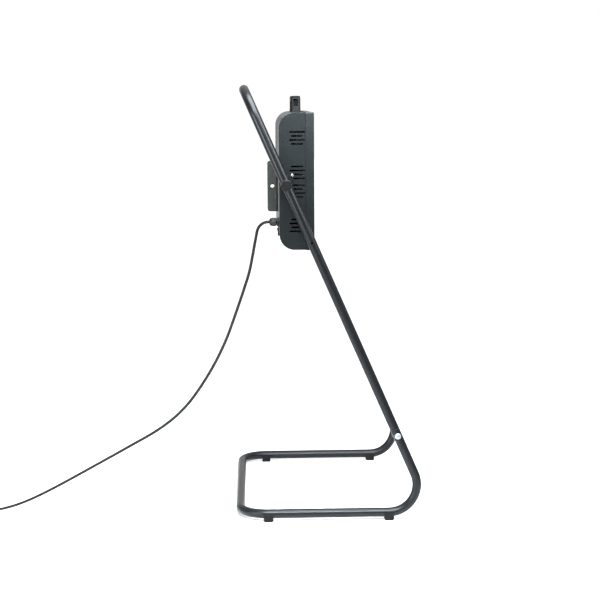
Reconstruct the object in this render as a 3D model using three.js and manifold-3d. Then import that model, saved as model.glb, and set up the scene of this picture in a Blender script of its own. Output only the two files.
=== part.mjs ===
// A mobile infrared heater: a flat radiant head that tilts between the legs of a bent tube stand.
// Millimetres. X is the width, the heater radiates towards -Y, +Z is up.
// The origin lies on the floor, under the middle of the stand.

import * as THREE from 'three';
import { mergeVertices } from 'three/addons/utils/BufferGeometryUtils.js';
import Module from 'manifold-3d';

const wasm = await Module();
wasm.setup();

// Play between pieces that touch or slide, and how far a cutting tool runs past what it cuts.
const clearance = 0.3;
const overrun = 2;

// Stand: one bent tube on the floor, one bent tube above it, plugged together in the front legs.
const tubeDiameter = 22;
const tubeWall = 1.5;
const bendRadius = 65;
const legGap = 13;
const baseLength = 433.5;
const standHeight = 1007;
const legLeanDegrees = 23.56;
const jointHeight = 215.5;
const swageLength = 45;
const swageLead = 1.5;
const jointBoltDrop = 14.8;
const jointBoltDiameter = 6;
const jointBoltHead = 14.5;
const jointBoltHeadHeight = 4;
const jointNutFlats = 10;
const jointNutHeight = 5;
const jointNutDome = 4;
const spareHoleHeight = 651.2;
const spareHoleDiameter = 6.5;

// Rubber feet clipped over the rails.
const footDrop = 6.5;
const footLength = 22;
const footWall = 3;
const footGrip = 2.5;
const footBevel = 3;

// Head casing, folded from painted sheet steel.
const headWidth = 512;
const headHeight = 311;
const headDepth = 79;
const frontFrameDepth = 18;
const sheet = 1.2;
const shellCorner = 35;
const panelRim = 10;
const shellLip = 22;
const pivotHeight = 781.7;
const pivotBehindBack = 15.6;
const pivotAboveBottom = 149.6;

// Vent slots of the side panels.
const slotHeight = 4;
const longSlot = 36;
const shortSlot = 28;
const slotPitch = 9;
const slotRowsInGroup = 4;
const outerSlotGroup = 99.2;
const innerSlotGroup = 21.2;
const slotForward = 1.75;

// Pivot: lug plate, bolt, saddle washers and clamp knob on each side.
const lugThickness = 3;
const lugPivotRadius = 9;
const lugEarRadius = 6;
const lugRearRadius = 6.5;
const lugEar = [-13.6, 21.1];
const lugRear = [8, 24];
const lugScrewDiameter = 4;
const lugScrewHead = 6.6;
const lugScrewHeadHeight = 2.2;
const lugScrewLength = 9;
const lugPipDiameter = 4;
const pivotBoltDiameter = 8;
const pivotBoltHead = 18;
const pivotBoltHeadHeight = 4;
const saddleDiameter = 24;
const saddleWrap = 5;
const outerSaddleWall = 3;
const knobDiameter = 27;
const knobLobeDepth = 1.6;
const knobLobes = 6;
const knobThickness = 16;
const knobChamfer = 1.8;
const knobHubDiameter = 17;
const knobHubLength = 5;
const knobBoreDepth = 14;

// Front: bezel window, wire guard, reflector and radiant rods.
const bezelBorder = 28;
const bezelCorner = 8;
const frameCorner = 3;
const frameScrewInset = 12;
const frameScrewDiameter = 4;
const frameScrewHead = 7.5;
const frameScrewHeadHeight = 2.4;
const guardWire = 2.5;
const guardBar = 4;
const guardPitch = 16.5;
const guardOverlap = 6;
const guardWeld = 0.4;
const guardUprights = 2;
const reflectorSheet = 1;
const reflectorEndGap = 34.8;
const troughCount = 3;
const troughSteps = 8;
const troughBorder = 31.5;
const troughDepth = 22;
const troughCuspSetback = 8.3;
const troughFlare = 9;
const rodDiameter = 8.5;
const rodSpacing = 36;
const rodSetback = 13.5;
const rodBendInset = 12;
const rodTail = 16;
const studDiameter = 4;
const studLength = 9;
const insulatorThickness = 7;
const insulatorBorder = 6;
const insulatorCollar = 2.5;
const insulatorCollarWall = 2.4;
const supportInset = 70;
const supportBridge = 2.8;
const shieldSetback = 43.4;
const shieldFlange = 20;

// Pieces inside the back of the casing. Each place is [from the left side, above the pivot].
const terminalBlockSize = [56, 20, 22];
const terminalBlockAt = [70, -42];
const terminalCount = 3;
const terminalWell = 11;
const terminalWellDepth = 14;
const tiltSwitchSize = [34, 20, 26];
const tiltSwitchAt = [160, -100];
const tiltSwitchEar = 8;
const tiltSwitchEarThickness = 3;
const cutoutDiameter = 17;
const cutoutHeight = 8;
const cutoutCap = 3;
const cutoutCapDiameter = 12;
const cutoutTabHeight = 7;
const cutoutTabWidth = 6.3;
const cutoutAt = [106, 55];
const tabThickness = 0.8;

// Rear bracket: a channel with a cross hole.
const bracketWidth = 40;
const bracketHeight = 122;
const bracketReach = 24.5;
const bracketSheet = 2.5;
const bracketCorner = 6.5;
const bracketHole = 10.2;
const bracketBelowCentre = 24.2;
const bracketScrewSpacing = 80;
const bracketScrewDiameter = 4;
const bracketScrewHead = 8;
const bracketScrewHeadHeight = 2.4;
const bracketScrewLength = 8;

// Cable gland and the cord in it.
const cordDiameter = 7;
const glandInset = 76;
const glandBelowPivot = 91.3;
const glandThread = 16;
const glandFlangeFlats = 20;
const glandFlangeHeight = 4.5;
const glandReach = 22.4;
const glandNutFlats = 19;
const glandNutLength = 15.6;
const glandNutDome = 5;
const glandNutMouth = 10.5;
const glandInside = 11;
const glandBore = 11;
const glandSealLength = 9;
const locknutFlats = 20;
const locknutHeight = 4;
const cordInside = 18;
const coreDiameter = 2.6;
const coreSpacing = 2.2;
const coreFan = 15;

// Rocker switch, under the gland.
const switchWidth = 17;
const switchHeight = 22.7;
const switchBezelHeight = 1.8;
const switchBodyWidth = 13;
const switchBodyHeight = 19.4;
const switchBodyDepth = 19;
const switchBelowPivot = 113.2;
const switchTabLength = 8;
const switchTabWidth = 4.8;
const switchTabSpacing = 7;
const switchTabCount = 2;
const rockerWidth = 9.8;
const rockerHeight = 16;
const rockerRise = 3.4;
const rockerRoot = 6;
const rockerRootHeight = 7;
const rockerPivotDepth = 2;
const rockerThrowDegrees = 16;
const rockerSweepSteps = 4;

// Carrying handle on top.
const handleFootSpan = 132;
const handleTopSpan = 118;
const handleHeight = 38.7;
const handleFootDepth = 25.6;
const handleTopDepth = 23;
const handleFlareHeight = 8;
const handleGripThickness = 15;
const handleGap = 82;
const handleCorner = 12;
const handleGapCorner = 9;
const handleForward = 28.9;
const handlePocketWidth = 11;
const handlePocketLow = 14.5;
const handlePocketHeight = 16.5;
const handlePocketDepth = 9;
const handleRibs = 3;
const handleRib = 1.6;
const handleScrewSpacing = 108;
const handleScrewDiameter = 4;
const handleScrewHead = 8;
const handleScrewHeadHeight = 2.4;
const handleScrewLength = 10;

// Cord: free route from the gland to the floor, chosen by hand. Each point is
// [behind the gland's mouth, above the floor].
const cordRoute = [
  [0.3, 690.4], [2.75, 690.4], [9.35, 689.5], [15.85, 686.8], [21.45, 682.4], [25.75, 676.7],
  [28.35, 670.3], [30.35, 661], [34.95, 637.5], [40.95, 606], [48.25, 572.5], [60.05, 535.5],
  [73.05, 497.7], [86.55, 459.8], [100.75, 421.8], [117.95, 383.7], [138.25, 345.5], [161.75, 307.3],
  [189.25, 269], [205.75, 250], [225.35, 230.8], [249.05, 211.7], [276.75, 193], [303.75, 177.3],
  [338.75, 158], [373.75, 138.6], [408.75, 119.4], [443.75, 100.2], [478.75, 81.2], [513.75, 62.6],
  [548.75, 45], [583.75, 29.2], [618.75, 16.8], [653.75, 8.8], [688.75, 5.6], [716.75, 5.4],
];
const cordSteps = 50;

// Coil of the rest of the cord, put away on the floor, with its tie and its plug.
const coilRadius = 46;
const coilPitch = 7.6;
const coilLayer = 7.45;
const coilTurnsIn = 2;
const coilTurnsClimb = 0.5;
const coilTurnsOut = 1.25;
const coilLead = 60;
const coilStepsPerTurn = 24;
const coilLeadSteps = 5;
const tieThickness = 0.7;
const tieWidth = 10;
const tiePlay = 1.1;
const tieAtTurns = [0.5, 1.5, 2.5];
const plugDiameter = 38;
const plugCollar = 26;
const plugBodyLength = 34;
const plugNeckDiameter = 14;
const plugTailDiameter = 9.5;
const plugTailLength = 20;
const plugPinDiameter = 4.8;
const plugPinLength = 19;
const plugPinSpacing = 19;
const plugPinRoot = 9;
const plugBridgeThickness = 3;
const plugBridgeWidth = 9;
const plugEdge = 2;
const plugLift = 0.2;

// Facets.
const tubeSides = 12;
const bendSteps = 5;
const coreSteps = 8;
const cordSides = 8;
const coilSides = 6;
const wireSides = 6;
const barSides = 6;
const roundSides = 16;
const smallSides = 10;
const cornerSteps = 2;
const hiddenCornerSteps = 1;
const slotEndSteps = 1;
const shellCornerSteps = 4;
const knobLobeSteps = 5;
const hexSides = 6;

// Materials, one function for all finishes.
function finish(color, roughness, metalness) {
  return new THREE.MeshStandardMaterial({ color, roughness, metalness });
}
const tubePaint = finish('#3f474f', 0.42, 0.2);
const casingPaint = finish('#454b51', 0.5, 0.15);
const blackPlastic = finish('#17181a', 0.5, 0);
const blackRubber = finish('#141415', 0.85, 0);
const zinc = finish('#c9ccd0', 0.3, 0.95);
const stainless = finish('#b5b8bb', 0.3, 0.95);
const polished = finish('#e0e2e4', 0.12, 1);
const sheathed = finish('#5b5550', 0.45, 0.8);
const ceramic = finish('#e6e1d4', 0.6, 0);

// Solids: every helper below returns a closed solid that can be joined and cut.

function solid(geometry) {
  geometry.deleteAttribute('normal');
  geometry.deleteAttribute('uv');
  const merged = mergeVertices(geometry);
  const index = merged.index.array;
  const corners = [];
  for (let i = 0; i < index.length; i += 3) {
    const [a, b, c] = [index[i], index[i + 1], index[i + 2]];
    if (a !== b && b !== c && c !== a) corners.push(a, b, c);
  }
  const build = (list) => new wasm.Manifold(new wasm.Mesh({
    numProp: 3,
    vertProperties: merged.attributes.position.array,
    triVerts: Uint32Array.from(list),
  }));
  const made = build(corners);
  return made.volume() > 0 ? made : build(corners.reverse());
}

function join(...solids) {
  return solids.reduce((whole, next) => whole.add(next));
}

// Profiles. On an X extrusion they are drawn as (y, z), and on Y as (x, z).

const toX = new THREE.Matrix4().makeBasis(
  new THREE.Vector3(0, 1, 0), new THREE.Vector3(0, 0, 1), new THREE.Vector3(1, 0, 0));
const toY = new THREE.Matrix4().makeBasis(
  new THREE.Vector3(1, 0, 0), new THREE.Vector3(0, 0, 1), new THREE.Vector3(0, -1, 0));

function extruded(shape, depth, curveSegments) {
  return new THREE.ExtrudeGeometry(shape, { depth, bevelEnabled: false, curveSegments });
}

function alongX(shape, from, to, steps = cornerSteps) {
  const [low, high] = [Math.min(from, to), Math.max(from, to)];
  return solid(extruded(shape, high - low, steps).applyMatrix4(toX).translate(low, 0, 0));
}

function alongY(shape, from, to, steps = cornerSteps) {
  const [low, high] = [Math.min(from, to), Math.max(from, to)];
  return solid(extruded(shape, high - low, steps).applyMatrix4(toY).translate(0, high, 0));
}

function outline(points) {
  return new THREE.Shape(points.map(([u, v]) => new THREE.Vector2(u, v)));
}

// A rectangle by its two corners, with rounded corners when a radius is given.
function rectangle(left, low, right, high, radius = 0) {
  if (radius <= 0) return outline([[left, low], [right, low], [right, high], [left, high]]);
  const shape = new THREE.Shape();
  shape.absarc(right - radius, low + radius, radius, -Math.PI / 2, 0);
  shape.absarc(right - radius, high - radius, radius, 0, Math.PI / 2);
  shape.absarc(left + radius, high - radius, radius, Math.PI / 2, Math.PI);
  shape.absarc(left + radius, low + radius, radius, Math.PI, Math.PI * 1.5);
  return shape;
}

function ring(radius, sides) {
  const angles = Array.from({ length: sides }, (unused, i) => (i + 0.5) * 2 * Math.PI / sides);
  return angles.map((angle) => [radius * Math.cos(angle), radius * Math.sin(angle)]);
}

// The outline of a tight band round several circles, each given as [u, v, radius].
function bandRound(circles, samples = roundSides) {
  const points = circles.flatMap(([u, v, radius]) =>
    ring(radius, samples).map(([du, dv]) => [u + du, v + dv]));
  points.sort((a, b) => a[0] - b[0] || a[1] - b[1]);
  const turn = (o, a, b) => (a[0] - o[0]) * (b[1] - o[1]) - (a[1] - o[1]) * (b[0] - o[0]);
  const half = (list) => {
    const chain = [];
    for (const point of list) {
      while (chain.length > 1 && turn(chain.at(-2), chain.at(-1), point) <= 0) chain.pop();
      chain.push(point);
    }
    return chain.slice(0, -1);
  };
  return outline([...half(points), ...half([...points].reverse())]);
}

// Round bar from one point to another; six sides give a hexagon bar.
function bar(from, to, diameter, sides = smallSides, firstCorner = 0) {
  const start = new THREE.Vector3(...from);
  const end = new THREE.Vector3(...to);
  const way = end.clone().sub(start);
  const geometry = new THREE.CylinderGeometry(diameter / 2, diameter / 2, way.length(),
    sides, 1, false, firstCorner);
  const turn = new THREE.Quaternion().setFromUnitVectors(
    new THREE.Vector3(0, 1, 0), way.clone().normalize());
  const middle = start.add(end).multiplyScalar(1 / 2);
  return solid(geometry.applyQuaternion(turn).translate(middle.x, middle.y, middle.z));
}

function hexBar(from, to, flats) {
  return bar(from, to, flats / Math.cos(Math.PI / hexSides), hexSides, Math.PI / hexSides);
}

// A turned piece: profile points are [radius, distance along the axis].
function turned(profile, at, axis, sides = roundSides) {
  const points = profile.map(([radius, along]) => new THREE.Vector2(radius, along));
  const turn = new THREE.Quaternion().setFromUnitVectors(
    new THREE.Vector3(0, 1, 0), new THREE.Vector3(...axis));
  return solid(new THREE.LatheGeometry(points, sides).applyQuaternion(turn).translate(...at));
}

// A line through chosen stations, each with its own heading, for tubes that are
// swept with one ring of corners at every station.
class StationLine extends THREE.Curve {
  constructor(points, headings) {
    super();
    this.points = points;
    this.headings = headings;
  }
  pick(list, share) {
    return list[Math.round(share * (list.length - 1))].clone();
  }
  getPointAt(share) {
    return this.pick(this.points, share);
  }
  getTangentAt(share) {
    return this.pick(this.headings, share);
  }
}

// Straight runs between the corners, with an arc of the bending radius at each corner.
function bentLine(corners, radius, steps = bendSteps) {
  const places = corners.map((corner) => new THREE.Vector3(...corner));
  const heading = (i) => places[i + 1].clone().sub(places[i]).normalize();
  const points = [places[0]];
  const headings = [heading(0)];
  for (let i = 1; i < places.length - 1; i += 1) {
    const before = heading(i - 1);
    const after = heading(i);
    const turn = before.angleTo(after);
    const inward = after.clone().addScaledVector(before, -Math.cos(turn)).normalize();
    const start = places[i].clone().addScaledVector(before, -radius * Math.tan(turn / 2));
    for (let step = 0; step <= steps; step += 1) {
      const angle = turn * step / steps;
      points.push(start.clone()
        .addScaledVector(before, radius * Math.sin(angle))
        .addScaledVector(inward, radius * (1 - Math.cos(angle))));
      headings.push(before.clone().multiplyScalar(Math.cos(angle))
        .addScaledVector(inward, Math.sin(angle)));
    }
  }
  points.push(places.at(-1));
  headings.push(heading(places.length - 2));
  return new StationLine(points, headings);
}

function swept(line, diameter, sides, bore = 0) {
  const section = outline(ring(diameter / 2, sides));
  if (bore > 0) section.holes.push(outline(ring(bore / 2, sides)));
  return solid(new THREE.ExtrudeGeometry(section, {
    steps: line.points.length - 1,
    extrudePath: line,
  }));
}

// Assembly.

function piece(name, body, material) {
  const shape = body.getMesh();
  const geometry = new THREE.BufferGeometry();
  geometry.setAttribute('position', new THREE.BufferAttribute(shape.vertProperties, 3));
  geometry.setIndex(new THREE.BufferAttribute(shape.triVerts, 1));
  const mesh = new THREE.Mesh(geometry, material);
  mesh.name = name;
  return mesh;
}

const heater = new THREE.Group();
const stand = new THREE.Group();
const head = new THREE.Group();
const supply = new THREE.Group();
heater.add(stand, head, supply);

const sides = [['left', -1], ['right', 1]];

// Stand lines, worked out from the lean of the legs and the length on the floor.

const legLean = THREE.MathUtils.degToRad(legLeanDegrees);
const tubeRadius = tubeDiameter / 2;
const tubeBore = tubeDiameter - 2 * tubeWall;
const halfStand = headWidth / 2 + legGap + tubeRadius;
const railHeight = footDrop + tubeRadius;
const floorReach = baseLength / 2 - tubeRadius;
const bendTurn = Math.PI / 2 + legLean;
const railEnd = floorReach - bendRadius;
const frontCorner = -railEnd - bendRadius * Math.tan(bendTurn / 2);
const archHeight = standHeight - tubeRadius;
const legDirection = [0, Math.sin(legLean), Math.cos(legLean)];

function legAt(x, height) {
  return [x, frontCorner + (height - railHeight) * Math.tan(legLean), height];
}

function alongLeg(point, distance) {
  return point.map((value, i) => value + legDirection[i] * distance);
}

const baseLine = bentLine([
  legAt(-halfStand, jointHeight),
  [-halfStand, frontCorner, railHeight],
  [-halfStand, floorReach, railHeight],
  [halfStand, floorReach, railHeight],
  [halfStand, frontCorner, railHeight],
  legAt(halfStand, jointHeight),
], bendRadius);

const upperLine = bentLine([
  alongLeg(legAt(-halfStand, jointHeight), clearance),
  legAt(-halfStand, archHeight),
  legAt(halfStand, archHeight),
  alongLeg(legAt(halfStand, jointHeight), clearance),
], bendRadius);

const jointBoltHeight = jointHeight - jointBoltDrop;

// A drill along X through both legs, at a height on the legs.
function legDrill(height, diameter) {
  const [, y, z] = legAt(0, height);
  const reach = halfStand + tubeRadius + overrun;
  return bar([-reach, y, z], [reach, y, z], diameter);
}

function baseFrame() {
  return swept(baseLine, tubeDiameter, tubeSides, tubeBore)
    .subtract(legDrill(jointBoltHeight, jointBoltDiameter + 2 * clearance));
}

// The upper tube's ends are drawn down to plug into the lower tube.
function swagedEnd(x) {
  const outer = tubeBore / 2 * Math.cos(Math.PI / tubeSides) - clearance;
  const inner = outer - tubeWall;
  const shoulder = clearance + tubeWall;
  const inWall = tubeRadius - tubeWall / 2;
  return turned([
    [inner, -swageLength],
    [outer - swageLead, -swageLength],
    [outer, -swageLength + swageLead],
    [outer, shoulder],
    [inWall, shoulder],
    [inWall, shoulder + tubeWall],
    [inner, shoulder + tubeWall],
    [inner, -swageLength],
  ], legAt(x, jointHeight), legDirection, tubeSides);
}

function upperFrame() {
  return join(
    swept(upperLine, tubeDiameter, tubeSides, tubeBore),
    swagedEnd(-halfStand),
    swagedEnd(halfStand),
  ).subtract(join(
    legDrill(jointBoltHeight, jointBoltDiameter + 2 * clearance),
    legDrill(pivotHeight, pivotBoltDiameter + 2 * clearance),
    legDrill(spareHoleHeight, spareHoleDiameter),
  ));
}

// A saddle block under the rail: a bevelled wedge with the tube's own shape taken out.
function foot(x, y) {
  const half = tubeRadius + footWall;
  const top = railHeight + footGrip;
  const across = outline([
    [x - half + footBevel, 0], [x + half - footBevel, 0], [x + half, footBevel],
    [x + half, top], [x - half, top], [x - half, footBevel],
  ]);
  const reach = footLength / 2;
  const lengthwise = outline([
    [y - reach + footBevel, 0], [y + reach - footBevel, 0], [y + reach, footBevel],
    [y + reach, railHeight], [y + reach - footGrip, top], [y - reach + footGrip, top],
    [y - reach, railHeight], [y - reach, footBevel],
  ]);
  return alongY(across, y - reach - overrun, y + reach + overrun)
    .intersect(alongX(lengthwise, x - half - overrun, x + half + overrun))
    .subtract(swept(baseLine, tubeDiameter + 2 * clearance, tubeSides));
}

// Button-head bolt through the plugged tubes, its head outside and a dome nut inside.
function jointBolt(side) {
  const [, y, z] = legAt(0, jointBoltHeight);
  const face = halfStand + tubeRadius + clearance;
  const tip = halfStand - tubeRadius - clearance - jointNutHeight;
  const crown = jointBoltHead * 0.3;
  const head = turned([
    [0, 0],
    [jointBoltHead / 2, 0],
    [jointBoltHead / 2, jointBoltHeadHeight / 3],
    [crown + (jointBoltHead / 2 - crown) * 0.6, jointBoltHeadHeight * 0.8],
    [crown, jointBoltHeadHeight],
    [0, jointBoltHeadHeight],
  ], [side * face, y, z], [side, 0, 0]);
  const socketFloor = face + jointBoltHeadHeight * 0.4;
  return head
    .add(bar([side * tip, y, z], [side * (face + jointBoltHeadHeight / 3), y, z], jointBoltDiameter))
    .subtract(hexBar([side * socketFloor, y, z],
      [side * (face + jointBoltHeadHeight + overrun), y, z], jointBoltDiameter * 2 / 3));
}

function jointNut(side) {
  const [, y, z] = legAt(0, jointBoltHeight);
  const face = halfStand - tubeRadius - clearance;
  const shoulder = face - jointNutHeight;
  const hex = hexBar([side * face, y, z], [side * shoulder, y, z], jointNutFlats);
  const dome = turned([
    [0, -overrun],
    [jointNutFlats / 2 - clearance, -overrun],
    [jointNutFlats / 2 - clearance, 0],
    [jointNutFlats * 0.4, jointNutDome * 0.6],
    [jointNutFlats * 0.2, jointNutDome],
    [0, jointNutDome],
  ], [side * shoulder, y, z], [-side, 0, 0], smallSides);
  const boreEnd = shoulder - clearance;
  return hex.add(dome).subtract(bar([side * (face + overrun), y, z], [side * boreEnd, y, z],
    jointBoltDiameter + 2 * clearance));
}

stand.add(
  piece('base_frame', baseFrame(), tubePaint),
  piece('upper_frame', upperFrame(), tubePaint),
);
for (const [name, side] of sides) {
  stand.add(
    piece(`joint_bolt_${name}`, jointBolt(side), zinc),
    piece(`joint_nut_${name}`, jointNut(side), zinc),
    piece(`foot_front_${name}`, foot(side * halfStand, -railEnd), blackRubber),
    piece(`foot_rear_${name}`, foot(side * halfStand, railEnd), blackRubber),
  );
}

// Pivot stack, as distances from the middle plane outwards.

const [, pivotForward] = legAt(0, pivotHeight);
const panelFace = headWidth / 2;
const lugInner = panelFace + clearance;
const lugOuter = lugInner + lugThickness;
const innerSaddleFace = lugOuter + clearance;
const outerSaddleFace = halfStand + tubeRadius + outerSaddleWall;
const knobFace = outerSaddleFace + clearance;
const pivotAt = [pivotForward, pivotHeight];

function saddle(side, from, to) {
  const [y, z] = pivotAt;
  return bar([side * from, y, z], [side * to, y, z], saddleDiameter, roundSides)
    .subtract(swept(upperLine, tubeDiameter + 2 * clearance, tubeSides))
    .subtract(bar([side * (from - overrun), y, z], [side * (to + overrun), y, z],
      pivotBoltDiameter + 4 * clearance));
}

for (const [name, side] of sides) {
  const wrapInner = halfStand - tubeRadius + saddleWrap;
  const wrapOuter = halfStand + tubeRadius - saddleWrap;
  stand.add(
    piece(`inner_saddle_${name}`, saddle(side, innerSaddleFace, wrapInner), blackPlastic),
    piece(`outer_saddle_${name}`, saddle(side, wrapOuter, outerSaddleFace), blackPlastic),
  );
}

// Head. Its group stands at the pivot, so from here y and z count from the pivot axis.

head.position.set(0, pivotForward, pivotHeight);

const back = pivotBehindBack;
const front = back - headDepth;
const bottom = -pivotAboveBottom;
const top = bottom + headHeight;
const middle = (top + bottom) / 2;
const seam = front + frontFrameDepth;
const shellFront = seam + clearance;
const shellEnd = panelFace - sheet - clearance;

// The casing's side outline, drawn inside the outer face by an inset.
function casingOutline(inset, frontEdge) {
  const radius = shellCorner - inset;
  const shape = new THREE.Shape();
  shape.moveTo(frontEdge, bottom + inset);
  shape.lineTo(back - shellCorner, bottom + inset);
  shape.absarc(back - shellCorner, bottom + shellCorner, radius, -Math.PI / 2, 0);
  shape.absarc(back - shellCorner, top - shellCorner, radius, 0, Math.PI / 2);
  shape.lineTo(frontEdge, top - inset);
  return shape;
}

const bracketMiddle = middle - bracketBelowCentre;
const glandAcross = glandInset - panelFace;
const glandZ = -glandBelowPivot;
const switchZ = -switchBelowPivot;
const backInner = back - sheet;

const bracketScrewPlaces = [
  ['lower', 0, bracketMiddle - bracketScrewSpacing / 2],
  ['upper', 0, bracketMiddle + bracketScrewSpacing / 2],
];

const frameScrewPlaces = sides.flatMap(([name, side]) => [
  [`lower_${name}`, side * (panelFace - frameScrewInset), bottom + frameScrewInset],
  [`upper_${name}`, side * (panelFace - frameScrewInset), top - frameScrewInset],
]);

// One sheet folded round the top, the back and the bottom, with a lip along each front edge.
function rearShell() {
  const outer = alongX(casingOutline(0, shellFront), -shellEnd, shellEnd, shellCornerSteps);
  const hollow = alongX(casingOutline(sheet, shellFront + sheet), -shellEnd - overrun,
    shellEnd + overrun, shellCornerSteps);
  const mouth = alongX(rectangle(shellFront - overrun, bottom + shellLip,
    shellFront + sheet + overrun, top - shellLip), -shellEnd - overrun, shellEnd + overrun);
  const wall = [backInner - overrun, back + overrun];
  const glandHole = bar([glandAcross, wall[0], glandZ], [glandAcross, wall[1], glandZ],
    glandThread + 2 * clearance, roundSides);
  const switchHole = alongY(rectangle(
    glandAcross - switchBodyWidth / 2 - clearance, switchZ - switchBodyHeight / 2 - clearance,
    glandAcross + switchBodyWidth / 2 + clearance, switchZ + switchBodyHeight / 2 + clearance,
  ), ...wall);
  const screwHoles = bracketScrewPlaces.map(([, x, z]) =>
    bar([x, wall[0], z], [x, wall[1], z], bracketScrewDiameter + 2 * clearance));
  const handleHoles = [-1, 1].map((across) =>
    bar([across * handleScrewSpacing / 2, -handleForward, top - sheet - overrun],
      [across * handleScrewSpacing / 2, -handleForward, top + overrun],
      handleScrewDiameter + 2 * clearance));
  const lipHoles = frameScrewPlaces.map(([, x, z]) =>
    bar([x, shellFront - overrun, z], [x, shellFront + sheet + overrun, z],
      frameScrewDiameter + 2 * clearance));
  return [mouth, glandHole, switchHole, ...screwHoles, ...handleHoles, ...lipHoles]
    .reduce((shell, cut) => shell.subtract(cut), outer.subtract(hollow));
}

// Vent slots: four groups of four rows, long and short in turn.
function slotShapes() {
  const y = (front + back) / 2 - slotForward;
  const shapes = [];
  const groups = [outerSlotGroup, innerSlotGroup, -innerSlotGroup, -outerSlotGroup];
  groups.forEach((offset, group) => {
    for (let row = 0; row < slotRowsInGroup; row += 1) {
      const z = middle + offset + ((slotRowsInGroup - 1) / 2 - row) * slotPitch;
      const half = ((row + group) % 2 === 0 ? longSlot : shortSlot) / 2;
      shapes.push(rectangle(y - half, z - slotHeight / 2, y + half, z + slotHeight / 2,
        slotHeight / 2));
    }
  });
  return shapes;
}

function sidePanel(side) {
  const inner = panelFace - sheet;
  const plate = alongX(casingOutline(0, shellFront), side * inner, side * panelFace,
    shellCornerSteps);
  const rimOut = alongX(casingOutline(sheet + clearance, shellFront + sheet + clearance),
    side * (inner - panelRim), side * (inner + sheet / 2), shellCornerSteps);
  const rimIn = alongX(casingOutline(2 * sheet + clearance, shellFront - overrun),
    side * (inner - panelRim - overrun), side * inner, shellCornerSteps);
  const reach = [side * (inner - overrun), side * (panelFace + overrun)];
  const drills = [
    [0, 0, pivotBoltDiameter], [...lugEar, lugScrewDiameter], [...lugRear, lugPipDiameter],
  ].map(([y, z, diameter]) =>
    bar([reach[0], y, z], [reach[1], y, z], diameter + 2 * clearance));
  const slots = slotShapes().map((shape) => alongX(shape, ...reach, slotEndSteps));
  return plate.add(rimOut.subtract(rimIn)).subtract(join(...slots, ...drills));
}

// Bezel: a shallow tray with the window cut in its face.
function frontFrame() {
  const tray = (inset, from, to) => alongY(rectangle(-panelFace + inset, bottom + inset,
    panelFace - inset, top - inset, frameCorner - inset), from, to);
  const windowCut = alongY(rectangle(-panelFace + bezelBorder, bottom + bezelBorder,
    panelFace - bezelBorder, top - bezelBorder, bezelCorner), front - overrun, seam + overrun);
  const holes = frameScrewPlaces.map(([, x, z]) => bar([x, front - overrun, z],
    [x, front + sheet + overrun, z], frameScrewDiameter + 2 * clearance));
  return holes.reduce((frame, hole) => frame.subtract(hole),
    tray(0, front, seam).subtract(tray(sheet, front + sheet, seam + overrun))
      .subtract(windowCut));
}

// A pan-head screw: its head stands at the given place and the shank runs back from it.
function screw(at, out, headDiameter, headHeight, diameter, length) {
  const rim = headHeight / 2;
  return turned([
    [0, -length],
    [diameter / 2, -length],
    [diameter / 2, 0],
    [headDiameter / 2, 0],
    [headDiameter / 2, rim],
    [headDiameter * 0.36, headHeight * 0.9],
    [headDiameter * 0.2, headHeight],
    [0, headHeight],
  ], at, out, smallSides);
}

head.add(
  piece('rear_shell', rearShell(), casingPaint),
  piece('front_frame', frontFrame(), casingPaint),
);
const frameScrewLength = frontFrameDepth + 2 * clearance + 2 * sheet + frameScrewDiameter;
for (const [name, x, z] of frameScrewPlaces) {
  head.add(piece(`frame_screw_${name}`, screw([x, front - clearance, z], [0, -1, 0],
    frameScrewHead, frameScrewHeadHeight, frameScrewDiameter, frameScrewLength), zinc));
}

// Lug plate: the pivot bolt, a screw and a pressed pip hold it to the panel.
function pivotLug(side) {
  const plate = alongX(bandRound([
    [0, 0, lugPivotRadius], [...lugEar, lugEarRadius], [...lugRear, lugRearRadius],
  ]), side * lugInner, side * lugOuter);
  const drill = (y, z, diameter) => bar([side * (lugInner - overrun), y, z],
    [side * (lugOuter + overrun), y, z], diameter);
  const [pipY, pipZ] = lugRear;
  const pip = bar([side * (panelFace - sheet), pipY, pipZ],
    [side * (lugInner + lugThickness / 2), pipY, pipZ], lugPipDiameter);
  return plate.add(pip)
    .subtract(drill(0, 0, pivotBoltDiameter + 2 * clearance))
    .subtract(drill(...lugEar, lugScrewDiameter + 2 * clearance));
}

function lugScrew(side) {
  return screw([side * (lugOuter + clearance), ...lugEar], [side, 0, 0],
    lugScrewHead, lugScrewHeadHeight, lugScrewDiameter, lugScrewLength);
}

// Carriage bolt: flat domed head inside the panel, shank out through the leg into the knob.
function pivotBolt(side) {
  const face = panelFace - sheet - clearance;
  const tip = knobFace + knobBoreDepth - clearance;
  const head = pivotBoltHead / 2;
  return turned([
    [0, -pivotBoltHeadHeight],
    [head * 0.7, -pivotBoltHeadHeight],
    [head, -pivotBoltHeadHeight * 0.35],
    [head, 0],
    [pivotBoltDiameter / 2, 0],
    [pivotBoltDiameter / 2, tip - face - clearance],
    [pivotBoltDiameter / 2 - clearance, tip - face],
    [0, tip - face],
  ], [side * face, 0, 0], [side, 0, 0], smallSides);
}

// Clamp knob: lobes follow a cosine round the rim, with a chamfer on the front edge.
function knobOutline(shrink) {
  const mean = (knobDiameter - knobLobeDepth) / 2 - shrink;
  const steps = knobLobes * knobLobeSteps;
  return outline(Array.from({ length: steps }, (unused, i) => {
    const angle = i * 2 * Math.PI / steps;
    const radius = mean + knobLobeDepth / 2 * Math.cos(knobLobes * angle);
    return [radius * Math.cos(angle), radius * Math.sin(angle)];
  }));
}

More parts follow.
